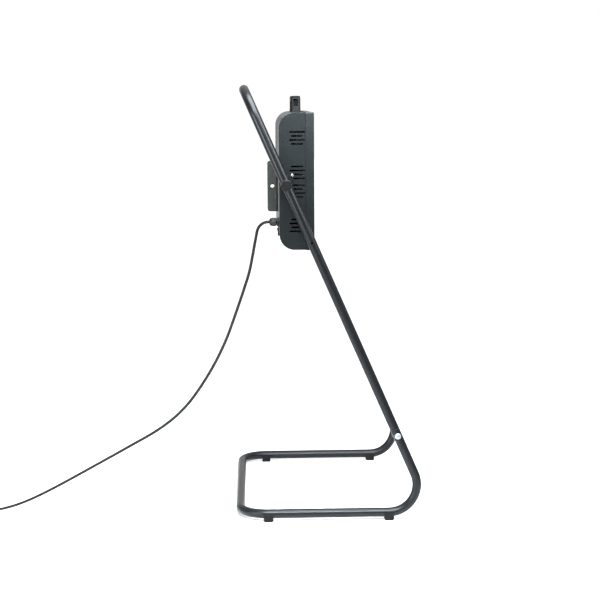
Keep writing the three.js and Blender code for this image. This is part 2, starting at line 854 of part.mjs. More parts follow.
function knob(side) {
  const hubEnd = knobFace + knobHubLength;
  const face = hubEnd + knobThickness;
  const grip = alongX(knobOutline(0), side * hubEnd, side * (face - knobChamfer));
  const cap = alongX(knobOutline(knobChamfer), side * (face - 2 * knobChamfer), side * face);
  const hub = bar([side * knobFace, 0, 0], [side * (hubEnd + knobChamfer), 0, 0],
    knobHubDiameter, roundSides);
  const bore = bar([side * (knobFace - overrun), 0, 0],
    [side * (knobFace + knobBoreDepth), 0, 0], pivotBoltDiameter + 2 * clearance);
  return grip.add(cap).add(hub).subtract(bore);
}

for (const [name, side] of sides) {
  head.add(
    piece(`side_panel_${name}`, sidePanel(side), casingPaint),
    piece(`pivot_lug_${name}`, pivotLug(side), casingPaint),
    piece(`pivot_bolt_${name}`, pivotBolt(side), zinc),
    piece(`lug_screw_${name}`, lugScrew(side), zinc),
    piece(`knob_${name}`, knob(side), blackPlastic),
  );
}

// Wire guard: fine rods across the window, welded in front of a frame and uprights.

const guardHalfWidth = panelFace - bezelBorder + guardOverlap;
const guardHalfHeight = headHeight / 2 - bezelBorder + guardOverlap;
const guardWireY = front + sheet + clearance + guardWire / 2;
const guardBarY = guardWireY + (guardWire + guardBar) / 2 - guardWeld;

function guard() {
  const frameBars = [-1, 1].flatMap((end) => [
    bar([end * guardHalfWidth, guardBarY, middle - guardHalfHeight - guardBar / 2],
      [end * guardHalfWidth, guardBarY, middle + guardHalfHeight + guardBar / 2],
      guardBar, barSides),
    bar([-guardHalfWidth, guardBarY, middle + end * guardHalfHeight],
      [guardHalfWidth, guardBarY, middle + end * guardHalfHeight], guardBar, barSides),
  ]);
  const gap = 2 * guardHalfWidth / (guardUprights + 1);
  const uprights = Array.from({ length: guardUprights }, (unused, i) => {
    const x = (i + 1) * gap - guardHalfWidth;
    return bar([x, guardBarY, middle - guardHalfHeight], [x, guardBarY, middle + guardHalfHeight],
      guardBar, barSides);
  });
  const count = Math.floor(2 * (guardHalfHeight - guardPitch / 2) / guardPitch) + 1;
  const wires = Array.from({ length: count }, (unused, i) => {
    const z = middle + (i - (count - 1) / 2) * guardPitch;
    return bar([-guardHalfWidth, guardWireY, z], [guardHalfWidth, guardWireY, z],
      guardWire, wireSides);
  });
  return join(...frameBars, ...uprights, ...wires);
}

// Reflector: three parabolic troughs in one sheet, with a flat flange above and below.

const flangeY = guardBarY + guardBar / 2 + clearance;
const cuspY = flangeY + troughCuspSetback;
const troughBandHeight = headHeight - 2 * troughBorder;
const troughHalf = troughBandHeight / troughCount / 2;
const troughMiddles = Array.from({ length: troughCount }, (unused, i) =>
  middle + (2 * i + 1 - troughCount) * troughHalf);

function troughLine(setback) {
  const line = [];
  for (const centre of troughMiddles) {
    for (let step = 0; step <= troughSteps; step += 1) {
      const share = 2 * step / troughSteps - 1;
      line.push([cuspY + setback + troughDepth * (1 - share * share), centre + share * troughHalf]);
    }
  }
  return line.filter(([, z], i) => i === 0 || z - line[i - 1][1] > clearance);
}

const reflectorHalfLength = panelFace - sheet - reflectorEndGap;
const supportOffset = reflectorHalfLength - supportInset;
const rodY = flangeY + rodSetback;
const shieldY = front + shieldSetback;
const insulatorInner = reflectorHalfLength + clearance;
const insulatorOuter = insulatorInner + insulatorThickness;
const rodHole = rodDiameter + 2 * clearance;
const collarDiameter = rodHole + 2 * insulatorCollarWall;

function rodHeights() {
  return troughMiddles.flatMap((z) => [z - rodSpacing / 2, z + rodSpacing / 2]);
}

// The troughs end in closing walls; the rods enter through six holes in the left one.
function reflector() {
  const reach = headHeight / 2 - sheet - clearance;
  const lip = troughBandHeight / 2 + troughFlare;
  const faceLine = (setback) => [
    [flangeY + setback, middle - reach],
    [flangeY + setback, middle - lip],
    ...troughLine(setback),
    [flangeY + setback, middle + lip],
    [flangeY + setback, middle + reach],
  ];
  const troughs = alongX(outline([...faceLine(0), ...faceLine(reflectorSheet).reverse()]),
    -reflectorHalfLength, reflectorHalfLength);
  const half = troughBandHeight / 2;
  const ends = [-1, 1].map((end) => alongX(rectangle(flangeY, middle - half,
    cuspY + troughDepth + reflectorSheet, middle + half),
  end * (reflectorHalfLength - reflectorSheet), end * reflectorHalfLength));
  return rodHeights().reduce((part, z) => part.subtract(bar(
    [-reflectorHalfLength - overrun, rodY, z],
    [-reflectorHalfLength + reflectorSheet + overrun, rodY, z],
    collarDiameter + 2 * clearance)), join(troughs, ...ends));
}

// Radiant rod: a hairpin of sheathed heating rod with a terminal stud on each end.
function heatingRod(centre) {
  const tail = -(insulatorOuter + rodTail);
  const turn = reflectorHalfLength - rodBendInset;
  const [low, high] = [centre - rodSpacing / 2, centre + rodSpacing / 2];
  const line = bentLine([
    [tail, rodY, low], [turn, rodY, low], [turn, rodY, high], [tail, rodY, high],
  ], rodSpacing / 2);
  const studs = [low, high].map((z) =>
    bar([tail - studLength, rodY, z], [tail + overrun, rodY, z], studDiameter));
  return join(swept(line, rodDiameter, smallSides), ...studs);
}

// Ceramic end block: one bar behind the left wall, with a collar round every rod.
function rodInsulator() {
  const heights = rodHeights();
  const half = collarDiameter / 2 + insulatorBorder / 2;
  const block = alongX(rectangle(rodY - half, heights[0] - half, rodY + half,
    heights.at(-1) + half, insulatorBorder), -insulatorOuter, -insulatorInner, hiddenCornerSteps);
  const inside = -(reflectorHalfLength - reflectorSheet - insulatorCollar);
  const collars = heights.map((z) =>
    bar([-insulatorInner - overrun, rodY, z], [inside, rodY, z], collarDiameter));
  return heights.reduce((part, z) => part.subtract(bar(
    [-insulatorOuter - overrun, rodY, z], [inside + overrun, rodY, z], rodHole)),
  join(block, ...collars));
}

// Comb: a strip that follows the troughs and carries the free ends of the rods.
function rodSupport() {
  const clear = troughLine(-clearance);
  const nose = cuspY - clearance - supportBridge;
  const strip = alongX(outline([[nose, clear[0][1]], ...clear, [nose, clear.at(-1)[1]]]),
    supportOffset, supportOffset + reflectorSheet);
  return rodHeights().reduce((part, z) => part.subtract(bar(
    [supportOffset - overrun, rodY, z], [supportOffset + reflectorSheet + overrun, rodY, z],
    rodHole)), strip);
}

// Heat shield: a flat tray between the reflector and the back, seated in the shell.
function heatShield() {
  const reach = headHeight / 2 - sheet - clearance;
  const tray = outline([
    [shieldY - shieldFlange, middle - reach], [shieldY + sheet, middle - reach],
    [shieldY + sheet, middle + reach], [shieldY - shieldFlange, middle + reach],
    [shieldY - shieldFlange, middle + reach - sheet], [shieldY, middle + reach - sheet],
    [shieldY, middle - reach + sheet], [shieldY - shieldFlange, middle - reach + sheet],
  ]);
  const notch = handleScrewHead + 4 * clearance;
  return [-1, 1].reduce((part, end) => part.subtract(bar(
    [end * handleScrewSpacing / 2, -handleForward, top - shieldFlange / 2],
    [end * handleScrewSpacing / 2, -handleForward, top], notch)),
  alongX(tray, -reflectorHalfLength, reflectorHalfLength));
}

head.add(
  piece('wire_guard', guard(), stainless),
  piece('reflector', reflector(), polished),
  piece('rod_insulator', rodInsulator(), ceramic),
  piece('rod_support', rodSupport(), stainless),
  piece('heat_shield', heatShield(), stainless),
);
['lower', 'middle', 'upper'].forEach((name, i) => {
  head.add(piece(`heating_rod_${name}`, heatingRod(troughMiddles[i]), sheathed));
});

function fromLeft([inset, z]) {
  return [inset - panelFace, z];
}

// Terminal block on the inside of the back, with a well for each of its screws.
function terminalBlock() {
  const [width, depth, height] = terminalBlockSize;
  const [x, z] = fromLeft(terminalBlockAt);
  const rear = backInner - clearance;
  const block = alongY(rectangle(x - width / 2, z - height / 2, x + width / 2, z + height / 2),
    rear - depth, rear);
  const pitch = width / terminalCount;
  return Array.from({ length: terminalCount }, (unused, i) => {
    const centre = x + (i - (terminalCount - 1) / 2) * pitch;
    return alongY(rectangle(centre - terminalWell / 2, z - terminalWell / 2,
      centre + terminalWell / 2, z + terminalWell / 2),
    rear - depth - overrun, rear - depth + terminalWellDepth);
  }).reduce((body, well) => body.subtract(well), block);
}

// Tip-over cut-off: a closed box with two ears, fixed to the inside of the back.
function tiltSwitch() {
  const [width, depth, height] = tiltSwitchSize;
  const [x, z] = fromLeft(tiltSwitchAt);
  const rear = backInner - clearance;
  const box = alongY(rectangle(x - width / 2, z - height / 2, x + width / 2, z + height / 2,
    tiltSwitchEarThickness), rear - depth, rear, hiddenCornerSteps);
  const ears = alongY(rectangle(x - width / 2 - tiltSwitchEar, z - tiltSwitchEar,
    x + width / 2 + tiltSwitchEar, z + tiltSwitchEar, tiltSwitchEarThickness),
  rear - tiltSwitchEarThickness, rear, hiddenCornerSteps);
  return box.add(ears);
}

// Thermal cut-out: a button thermostat on the back of the heat shield.
function thermalCutout() {
  const [x, z] = fromLeft(cutoutAt);
  const seat = shieldY + sheet + clearance;
  const body = turned([
    [0, 0],
    [cutoutDiameter / 2, 0],
    [cutoutDiameter / 2, cutoutHeight],
    [cutoutCapDiameter / 2, cutoutHeight],
    [cutoutCapDiameter / 2, cutoutHeight + cutoutCap],
    [0, cutoutHeight + cutoutCap],
  ], [x, seat, z], [0, 1, 0]);
  const tabs = [-1, 1].map((end) => {
    const tabX = x + end * cutoutCapDiameter / 4;
    return alongY(rectangle(tabX - tabThickness / 2, z - cutoutTabWidth / 2,
      tabX + tabThickness / 2, z + cutoutTabWidth / 2),
    seat + cutoutHeight, seat + cutoutHeight + cutoutCap + cutoutTabHeight);
  });
  return join(body, ...tabs);
}

head.add(
  piece('terminal_block', terminalBlock(), ceramic),
  piece('tilt_switch', tiltSwitch(), blackPlastic),
  piece('thermal_cutout', thermalCutout(), ceramic),
);

// Rear bracket: a web on the back and two flanges with one cross hole through both.
function rearBracket() {
  const low = bracketMiddle - bracketHeight / 2;
  const high = bracketMiddle + bracketHeight / 2;
  const seat = back + clearance;
  const tip = back + bracketReach;
  const side = new THREE.Shape();
  side.moveTo(seat, low);
  side.lineTo(tip - bracketCorner, low);
  side.absarc(tip - bracketCorner, low + bracketCorner, bracketCorner, -Math.PI / 2, 0);
  side.absarc(tip - bracketCorner, high - bracketCorner, bracketCorner, 0, Math.PI / 2);
  side.lineTo(seat, high);
  const half = bracketWidth / 2;
  const channel = alongX(side, -half, half).subtract(alongY(rectangle(
    -half + bracketSheet, low - overrun, half - bracketSheet, high + overrun,
  ), seat + bracketSheet, tip + overrun));
  const crossY = (back + tip) / 2;
  const cross = bar([-half - overrun, crossY, bracketMiddle], [half + overrun, crossY, bracketMiddle],
    bracketHole, roundSides);
  return bracketScrewPlaces.reduce((part, [, x, z]) => part.subtract(bar(
    [x, seat - overrun, z], [x, seat + bracketSheet + overrun, z],
    bracketScrewDiameter + 2 * clearance)), channel.subtract(cross));
}

head.add(piece('rear_bracket', rearBracket(), casingPaint));
for (const [name, x, z] of bracketScrewPlaces) {
  head.add(piece(`bracket_screw_${name}`, screw(
    [x, back + 2 * clearance + bracketSheet, z], [0, 1, 0],
    bracketScrewHead, bracketScrewHeadHeight, bracketScrewDiameter, bracketScrewLength), zinc));
}

// Cable gland: body through the back, locknut inside, rubber seal and domed nut outside.

const glandFlangeOuter = back + clearance + glandFlangeHeight;
const glandMouth = back + glandReach;
const glandNutInner = glandMouth - glandNutLength;
const glandNeckEnd = glandMouth - glandNutDome - clearance;
const cordHole = cordDiameter + 2 * clearance;

function onGland(distance) {
  return [glandAcross, distance, glandZ];
}

function glandBody() {
  return hexBar(onGland(back + clearance), onGland(glandFlangeOuter), glandFlangeFlats)
    .add(bar(onGland(back - glandInside), onGland(glandNeckEnd), glandThread, roundSides))
    .subtract(bar(onGland(back - glandInside - overrun), onGland(glandNeckEnd + overrun),
      glandBore, roundSides));
}

function glandNut() {
  const hexEnd = glandMouth - glandNutDome;
  const hex = hexBar(onGland(glandNutInner), onGland(hexEnd), glandNutFlats);
  const dome = turned([
    [0, -overrun],
    [glandNutFlats / 2, -overrun],
    [glandNutFlats / 2, 0],
    [glandNutFlats / 2 - glandNutDome * 0.25, glandNutDome * 0.55],
    [glandNutMouth / 2, glandNutDome],
    [0, glandNutDome],
  ], onGland(hexEnd), [0, 1, 0]);
  return hex.add(dome)
    .subtract(bar(onGland(glandNutInner - overrun), onGland(hexEnd),
      glandThread + 2 * clearance, roundSides))
    .subtract(bar(onGland(hexEnd - overrun), onGland(glandMouth + overrun), cordHole, roundSides));
}

function glandSeal() {
  const outer = onGland(glandNeckEnd);
  return bar(onGland(glandNeckEnd - glandSealLength), outer, glandBore - 2 * clearance, roundSides)
    .subtract(bar(onGland(glandNeckEnd - glandSealLength - overrun), onGland(glandNeckEnd + overrun),
      cordHole, smallSides));
}

function glandLocknut() {
  const face = backInner - clearance;
  return hexBar(onGland(face - locknutHeight), onGland(face), locknutFlats)
    .subtract(bar(onGland(face - locknutHeight - overrun), onGland(face + overrun),
      glandThread + 2 * clearance, roundSides));
}

// The end of the cord inside the gland, with its three cores led to the terminal block.
function cordTail() {
  const [x, z] = fromLeft(terminalBlockAt);
  const [width, depth, height] = terminalBlockSize;
  const sheathEnd = back - cordInside;
  const endY = backInner - clearance - depth / 2;
  const pitch = width / terminalCount;
  const cores = Array.from({ length: terminalCount }, (unused, i) => {
    const place = i - (terminalCount - 1) / 2;
    const fromX = glandAcross + place * coreSpacing;
    const toX = x + place * pitch;
    const line = new THREE.CatmullRomCurve3([
      [fromX, sheathEnd + cordDiameter / 2, glandZ],
      [fromX, sheathEnd - coreFan / 3, glandZ],
      [(fromX + toX) / 2, sheathEnd - coreFan / 2, glandZ + coreFan],
      [toX, endY, z - height / 2 - coreFan],
      [toX, endY, z - height / 2 - clearance],
    ].map((point) => new THREE.Vector3(...point)), false, 'centripetal');
    const shares = Array.from({ length: coreSteps + 1 }, (none, step) => step / coreSteps);
    return swept(new StationLine(shares.map((share) => line.getPointAt(share)),
      shares.map((share) => line.getTangentAt(share))), coreDiameter, wireSides);
  });
  return join(bar(onGland(sheathEnd), onGland(glandMouth), cordDiameter, cordSides), ...cores);
}

head.add(
  piece('gland_body', glandBody(), blackPlastic),
  piece('gland_nut', glandNut(), blackPlastic),
  piece('gland_seal', glandSeal(), blackRubber),
  piece('gland_locknut', glandLocknut(), blackPlastic),
  piece('cord_tail', cordTail(), blackRubber),
);

// Rocker switch: the rocker turns on a cross axis inside its bezel.

const rockerPivotY = back + clearance + switchBezelHeight - rockerPivotDepth;
const rockerThrow = THREE.MathUtils.degToRad(rockerThrowDegrees);

// The rocker's side outline, turned about its pivot: a shallow V over a tapering root.
function rockerOutline(grow, turn) {
  const half = rockerHeight / 2 + grow;
  const end = rockerPivotDepth + rockerRise - rockerHeight / 2 * Math.sin(rockerThrow / 2) + grow;
  const valley = end - rockerHeight / 2 * Math.tan(rockerThrow / 2);
  const root = -rockerRoot - grow;
  const rootHalf = rockerRootHeight / 2 + grow;
  const [c, s] = [Math.cos(turn), Math.sin(turn)];
  return outline([
    [root, -rootHalf], [0, -half], [end, -half], [valley, 0], [end, half], [0, half],
    [root, rootHalf],
  ].map(([y, z]) => [rockerPivotY + y * c - z * s, switchZ + y * s + z * c]));
}

function rockerSolid(grow, turn) {
  const half = rockerWidth / 2 + grow;
  return alongX(rockerOutline(grow, turn), glandAcross - half, glandAcross + half);
}

function switchHousing() {
  const box = (width, height, from, to, radius) => alongY(rectangle(
    glandAcross - width / 2, switchZ - height / 2, glandAcross + width / 2, switchZ + height / 2,
    radius), from, to);
  const face = back + clearance + switchBezelHeight;
  const bezel = box(switchWidth, switchHeight, back + clearance, face, switchBezelHeight);
  const body = box(switchBodyWidth, switchBodyHeight, back - switchBodyDepth,
    back + clearance + switchBezelHeight / 2, 0);
  const tabs = Array.from({ length: switchTabCount }, (unused, i) => {
    const z = switchZ + (i - (switchTabCount - 1) / 2) * switchTabSpacing;
    return alongY(rectangle(glandAcross - switchTabWidth / 2, z - tabThickness / 2,
      glandAcross + switchTabWidth / 2, z + tabThickness / 2),
    back - switchBodyDepth - switchTabLength, back - switchBodyDepth + overrun);
  });
  const swing = Array.from({ length: rockerSweepSteps + 1 }, (unused, i) =>
    rockerSolid(clearance, (1 / 2 - i / rockerSweepSteps) * rockerThrow));
  return swing.reduce((part, cut) => part.subtract(cut), join(bezel, body, ...tabs));
}

head.add(
  piece('switch_housing', switchHousing(), blackPlastic),
  piece('switch_rocker', rockerSolid(0, -rockerThrow / 2), blackPlastic),
);

// Carrying handle: a bridge on two flared feet, with a ribbed pocket in each end.
function carryHandle() {
  const footHalf = handleFootSpan / 2;
  const topHalf = handleTopSpan / 2;
  const low = top + clearance;
  const high = top + handleHeight;
  const gripLow = high - handleGripThickness;
  const gapHalf = handleGap / 2;
  const bridge = new THREE.Shape();
  bridge.moveTo(-footHalf, low);
  bridge.lineTo(-gapHalf, low);
  bridge.lineTo(-gapHalf, gripLow - handleGapCorner);
  bridge.absarc(-gapHalf + handleGapCorner, gripLow - handleGapCorner, handleGapCorner,
    Math.PI, Math.PI / 2, true);
  bridge.absarc(gapHalf - handleGapCorner, gripLow - handleGapCorner, handleGapCorner,
    Math.PI / 2, 0, true);
  bridge.lineTo(gapHalf, low);
  bridge.lineTo(footHalf, low);
  bridge.absarc(topHalf - handleCorner, high - handleCorner, handleCorner, 0, Math.PI / 2);
  bridge.absarc(-topHalf + handleCorner, high - handleCorner, handleCorner, Math.PI / 2, Math.PI);
  const [footY, topY] = [handleFootDepth / 2, handleTopDepth / 2];
  const taper = outline([
    [-handleForward - footY, low], [-handleForward + footY, low],
    [-handleForward + topY, low + handleFlareHeight],
    [-handleForward + topY, high - knobChamfer],
    [-handleForward + topY - knobChamfer, high],
    [-handleForward - topY + knobChamfer, high],
    [-handleForward - topY, high - knobChamfer],
    [-handleForward - topY, low + handleFlareHeight],
  ]);
  const body = alongY(bridge, -handleForward - footY - overrun, -handleForward + footY + overrun)
    .intersect(alongX(taper, -footHalf - overrun, footHalf + overrun));
  const pocketHalf = handlePocketWidth / 2;
  const ribPitch = handlePocketHeight / (handleRibs + 1);
  const cuts = [-1, 1].flatMap((end) => {
    const pocketFloor = end * (topHalf - handlePocketDepth);
    const pocket = alongX(rectangle(-handleForward - pocketHalf, low + handlePocketLow,
      -handleForward + pocketHalf, low + handlePocketLow + handlePocketHeight),
    pocketFloor, end * (footHalf + overrun));
    const ribs = Array.from({ length: handleRibs }, (unused, i) => {
      const z = low + handlePocketLow + (i + 1) * ribPitch;
      return alongX(rectangle(-handleForward - pocketHalf - overrun, z - handleRib / 2,
        -handleForward + pocketHalf + overrun, z + handleRib / 2),
      pocketFloor, end * (topHalf - handleRib));
    });
    const x = end * handleScrewSpacing / 2;
    return [
      ribs.reduce((hollow, rib) => hollow.subtract(rib), pocket),
      bar([x, -handleForward, low - overrun], [x, -handleForward, low + handleScrewLength],
        handleScrewDiameter + 2 * clearance),
    ];
  });
  return cuts.reduce((part, cut) => part.subtract(cut), body);
}

head.add(piece('carry_handle', carryHandle(), blackPlastic));
for (const [name, side] of sides) {
  head.add(piece(`handle_screw_${name}`, screw(
    [side * handleScrewSpacing / 2, -handleForward, top - sheet - clearance], [0, 0, -1],
    handleScrewHead, handleScrewHeadHeight, handleScrewDiameter, handleScrewLength), zinc));
}

// Cord: the free stretch, then the coil that winds in on the floor, climbs and winds out.

const mouthHeight = pivotHeight + glandZ;
const cordRest = cordRoute.at(-1)[1];
const cordStretch = (mouthHeight - cordRest) / (cordRoute[0][1] - cordRest);
const cordPoints = cordRoute.map(([behind, height]) => new THREE.Vector3(glandAcross,
  pivotForward + glandMouth + behind, cordRest + (height - cordRest) * cordStretch));

function freeCord() {
  const line = new THREE.CatmullRomCurve3(cordPoints, false, 'centripetal');
  const stations = Array.from({ length: cordSteps + 1 }, (unused, i) => i / cordSteps);
  const points = stations.map((share) => line.getPointAt(share));
  const headings = stations.map((share) => line.getTangentAt(share));
  headings[0].set(0, 1, 0);
  headings[cordSteps].set(0, 1, 0);
  return new StationLine(points, headings);
}

const coilEntry = cordPoints.at(-1);
const coilCentre = [coilEntry.x + coilRadius, coilEntry.y + cordDiameter + clearance];
const coilTurns = coilTurnsIn + coilTurnsOut;
const plugZ = plugDiameter / 2 + plugLift;

// Place after a number of turns: winding in, climbing where the spiral reverses, winding out.
function coilAt(turns) {
  const climb = THREE.MathUtils.clamp((turns - coilTurnsIn) / coilTurnsClimb + 1 / 2, 0, 1);
  const outward = Math.max(turns - coilTurnsIn, 0);
  const radius = coilRadius - coilPitch * (turns - 2 * outward);
  const angle = Math.PI - 2 * Math.PI * turns;
  return new THREE.Vector3(
    coilCentre[0] + radius * Math.cos(angle),
    coilCentre[1] + radius * Math.sin(angle),
    coilEntry.z + coilLayer * (1 - Math.cos(Math.PI * climb)) / 2);
}

function coilLine() {
  const points = [coilEntry.clone().setY(coilEntry.y + clearance)];
  const steps = Math.round(coilTurns * coilStepsPerTurn);
  for (let step = 0; step <= steps; step += 1) points.push(coilAt(coilTurns * step / steps));
  const leave = points.at(-1);
  for (let step = 1; step <= coilLeadSteps; step += 1) {
    const share = step / coilLeadSteps;
    const rise = Math.min(share * (coilLead + cordDiameter) / coilLead, 1);
    points.push(new THREE.Vector3(leave.x + coilLead * share, leave.y,
      leave.z + (plugZ - leave.z) * (1 - Math.cos(Math.PI * rise)) / 2));
  }
  const headings = points.map((point, i) => points[Math.min(i + 1, points.length - 1)].clone()
    .sub(points[Math.max(i - 1, 0)]).normalize());
  headings[0].set(0, 1, 0);
  headings[points.length - 1].set(1, 0, 0);
  return new StationLine(points, headings);
}

// Least gap between turns of the coil, measured on points that lie half a turn or more apart.
function leastGap(line) {
  const apart = coilStepsPerTurn / 2;
  let least = Infinity;
  line.points.forEach((point, i) => {
    for (let other = i + apart; other < line.points.length - 1; other += 1) {
      const from = line.points[other];
      const along = line.points[other + 1].clone().sub(from);
      const share = THREE.MathUtils.clamp(
        point.clone().sub(from).dot(along) / along.lengthSq(), 0, 1);
      least = Math.min(least, from.clone().addScaledVector(along, share).distanceTo(point));
    }
  });
  return least - cordDiameter;
}

const coil = coilLine();
console.log(`coil: least gap between turns ${leastGap(coil).toFixed(2)} mm`);

// Tie: a flat band round the bundle, on the far side of the coil.
function cordTie() {
  const places = tieAtTurns.map((turns) => coilAt(turns));
  const band = (grow) => bandRound(places.map((place) =>
    [place.x, place.z, cordDiameter / 2 + grow]));
  const [low, high] = [coilCentre[1] - tieWidth / 2, coilCentre[1] + tieWidth / 2];
  return alongY(band(tiePlay + tieThickness), low, high)
    .subtract(alongY(band(tiePlay), low - overrun, high + overrun));
}

// Plug: ribbed tail, tapering body and round face, lying on its rim.
const plugStart = coil.points.at(-1).x + clearance;
const plugFace = plugStart + plugTailLength + plugBodyLength;
const plugY = coil.points.at(-1).y;

function plugBody() {
  const body = turned([
    [0, 0],
    [plugTailDiameter / 2, 0],
    [plugNeckDiameter / 2, plugTailLength],
    [plugCollar / 2, plugTailLength + plugBodyLength * 0.2],
    [plugCollar / 2, plugTailLength + plugBodyLength * 0.62],
    [plugDiameter / 2, plugTailLength + plugBodyLength * 0.7],
    [plugDiameter / 2, plugTailLength + plugBodyLength - plugEdge],
    [plugDiameter / 2 - plugEdge, plugTailLength + plugBodyLength],
    [0, plugTailLength + plugBodyLength],
  ], [plugStart, plugY, plugZ], [1, 0, 0]);
  return body.subtract(plugPinSet(clearance, overrun));
}

// Both pins with the bridge that holds them inside the body.
function plugPinSet(grow, extra) {
  const root = plugFace - plugPinRoot;
  const pins = [-1, 1].map((end) => turned([
    [0, 0],
    [plugPinDiameter / 2 + grow, 0],
    [plugPinDiameter / 2 + grow, plugPinRoot + plugPinLength - plugEdge + extra],
    [plugPinDiameter / 4 + grow, plugPinRoot + plugPinLength + extra],
    [0, plugPinRoot + plugPinLength + extra],
  ], [root, plugY + end * plugPinSpacing / 2, plugZ], [1, 0, 0], smallSides));
  const half = plugPinSpacing / 2;
  const bridge = alongX(rectangle(plugY - half - grow, plugZ - plugBridgeWidth / 2 - grow,
    plugY + half + grow, plugZ + plugBridgeWidth / 2 + grow),
  root - grow, root + plugBridgeThickness + grow);
  return join(bridge, ...pins);
}

supply.add(
  piece('cord', swept(freeCord(), cordDiameter, cordSides), blackRubber),
  piece('cord_coil', swept(coil, cordDiameter, coilSides), blackRubber),
  piece('cord_tie', cordTie(), blackPlastic),
  piece('plug_body', plugBody(), blackRubber),
  piece('plug_pins', plugPinSet(0, 0), zinc),
);

export default heater;
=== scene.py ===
# %% [markdown]
# # A mobile infrared heater
# A flat radiant head hangs between the legs of a bent tube stand and tilts on two knobs.
# The imported CAD model is the frame of this scene: every piece below is made in metres
# where the CAD says, and all but the cord move with one of its bodies. Lengths are written
# in millimetres and turned to metres in one place, because that is how the real parts are drawn.

# %% Load the frame
import bmesh
import bpy
import numpy as np
from mathutils import Matrix


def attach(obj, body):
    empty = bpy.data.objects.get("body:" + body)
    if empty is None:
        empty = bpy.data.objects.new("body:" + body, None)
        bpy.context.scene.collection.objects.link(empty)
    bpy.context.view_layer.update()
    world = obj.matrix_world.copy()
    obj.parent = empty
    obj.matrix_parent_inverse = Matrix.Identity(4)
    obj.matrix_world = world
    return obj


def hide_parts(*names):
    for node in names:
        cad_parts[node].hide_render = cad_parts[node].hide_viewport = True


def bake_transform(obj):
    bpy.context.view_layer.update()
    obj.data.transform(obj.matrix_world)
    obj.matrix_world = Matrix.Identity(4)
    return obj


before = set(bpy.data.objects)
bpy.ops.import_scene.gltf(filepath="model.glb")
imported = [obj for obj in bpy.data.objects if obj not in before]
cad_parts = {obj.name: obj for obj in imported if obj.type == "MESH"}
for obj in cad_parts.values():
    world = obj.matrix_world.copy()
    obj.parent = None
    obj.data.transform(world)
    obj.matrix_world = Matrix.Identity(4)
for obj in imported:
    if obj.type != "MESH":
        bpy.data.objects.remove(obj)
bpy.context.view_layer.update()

MM = 0.001

# %% [markdown]
# ## Camera
# The photograph looks at the heater from its side, a little from above, with a long lens.
# The place, heading, dip and roll below came from fitting known points of the stand,
# such as the bends, feet and bolts, to their places in the photograph. A camera could also
# be aimed by a constraint, but fixed directions keep the picture the same at every pose.

# %% Where the camera stands
camera_place = np.array([-3.51128, 0.16495, 0.97451])
camera_heading = np.radians(-1.792)
camera_dip = np.radians(8.008)
camera_roll = np.radians(-0.371)
lens_mm = 85.8
sensor_mm = 36
view_end = 100
view_angle = 2 * np.degrees(np.arctan(sensor_mm / 2 / lens_mm))
print(f"camera at {camera_place}, its lens sees {view_angle:.1f} degrees")

# %% [markdown]
# The camera looks along its own -Z and has its own X to the right and Y up. So its matrix
# holds three directions in columns, right, up and backwards, and its place in the fourth.

# %% Camera
ahead = np.array([
    np.cos(camera_dip) * np.cos(camera_heading),
    np.cos(camera_dip) * np.sin(camera_heading),
    -np.sin(camera_dip),
])
sideways = np.cross(ahead, [0, 0, 1])
level = sideways / np.linalg.norm(sideways)
upright = np.cross(level, ahead)
camera_right = np.cos(camera_roll) * level + np.sin(camera_roll) * upright
camera_up = np.cos(camera_roll) * upright - np.sin(camera_roll) * level

camera_turn = np.eye(4)
camera_turn[:3, :4] = np.stack([camera_right, camera_up, -ahead, camera_place], axis=1)
camera_data = bpy.data.cameras.new("camera")
camera_data.lens = lens_mm
camera_data.sensor_width = sensor_mm
camera_data.clip_end = view_end
camera = bpy.data.objects.new("camera", camera_data)
camera.matrix_world = Matrix(camera_turn.tolist())
bpy.context.scene.collection.objects.link(camera)
bpy.context.scene.camera = camera
print("the camera looks along", np.round(ahead, 3))

# %% [markdown]
# ## Surfaces as grids
# Most pieces are surfaces with two directions: along the piece and around it. A grid of
# points holds such a surface, and neighbours in the grid make its faces. A skin is the
# simplest record of it: its points, its faces and a flat map (u, v) for each face corner.
# Blender's own primitives could stand in, but a formula keeps every edge where the real
# one is, and says how the shape was made.

# %% Skins
def skin(grid, around=True, along=False, flat_ends=True, lengths=None, widths=None):
    """A grid[i, j] of points becomes faces (i, j), (i + 1, j), (i + 1, j + 1), (i, j + 1).

    around and along say whether the last column or row joins the first again. An open
    row direction is closed with one flat face at each end. lengths and widths give the
    flat map: the distance along at every row and around at every column."""
    rows, per_row = grid.shape[:2]
    i = np.arange(rows if along else rows - 1)[:, None]
    j = np.arange(per_row if around else per_row - 1)[None, :]
    steps = [(0, 0), (1, 0), (1, 1), (0, 1)]
    corners = [(i + di) % rows * per_row + (j + dj) % per_row for di, dj in steps]
    quads = np.stack(corners, axis=-1).reshape(-1, 4)
    u = np.arange(rows + 1) if lengths is None else np.append(lengths, lengths[-1])
    v = np.arange(per_row + 1) if widths is None else widths
    flat = [np.broadcast_arrays(u[i + di], v[j + dj]) for di, dj in steps]
    maps = np.stack([np.stack(pair, axis=-1) for pair in flat], axis=-2).reshape(-1, 2)
    faces = quads.tolist()
    if flat_ends and around and not along:
        faces.append(list(range(per_row - 1, -1, -1)))
        faces.append(list(range((rows - 1) * per_row, rows * per_row)))
        maps = np.concatenate([maps, np.zeros((2 * per_row, 2))])
    return grid.reshape(-1, 3), faces, maps


def together(skins):
    """Several skins as one: the points follow each other and the faces count on."""
    points, faces, maps = [], [], []
    start = 0
    for more_points, more_faces, more_maps in skins:
        points.append(more_points)
        faces += [[start + corner for corner in face] for face in more_faces]
        maps.append(more_maps)
        start += len(more_points)
    return np.concatenate(points), faces, np.concatenate(maps)


sample = skin(np.zeros((3, 4, 3)))
print(f"a grid of 3 rings with 4 points each makes {len(sample[1])} faces, with both ends")

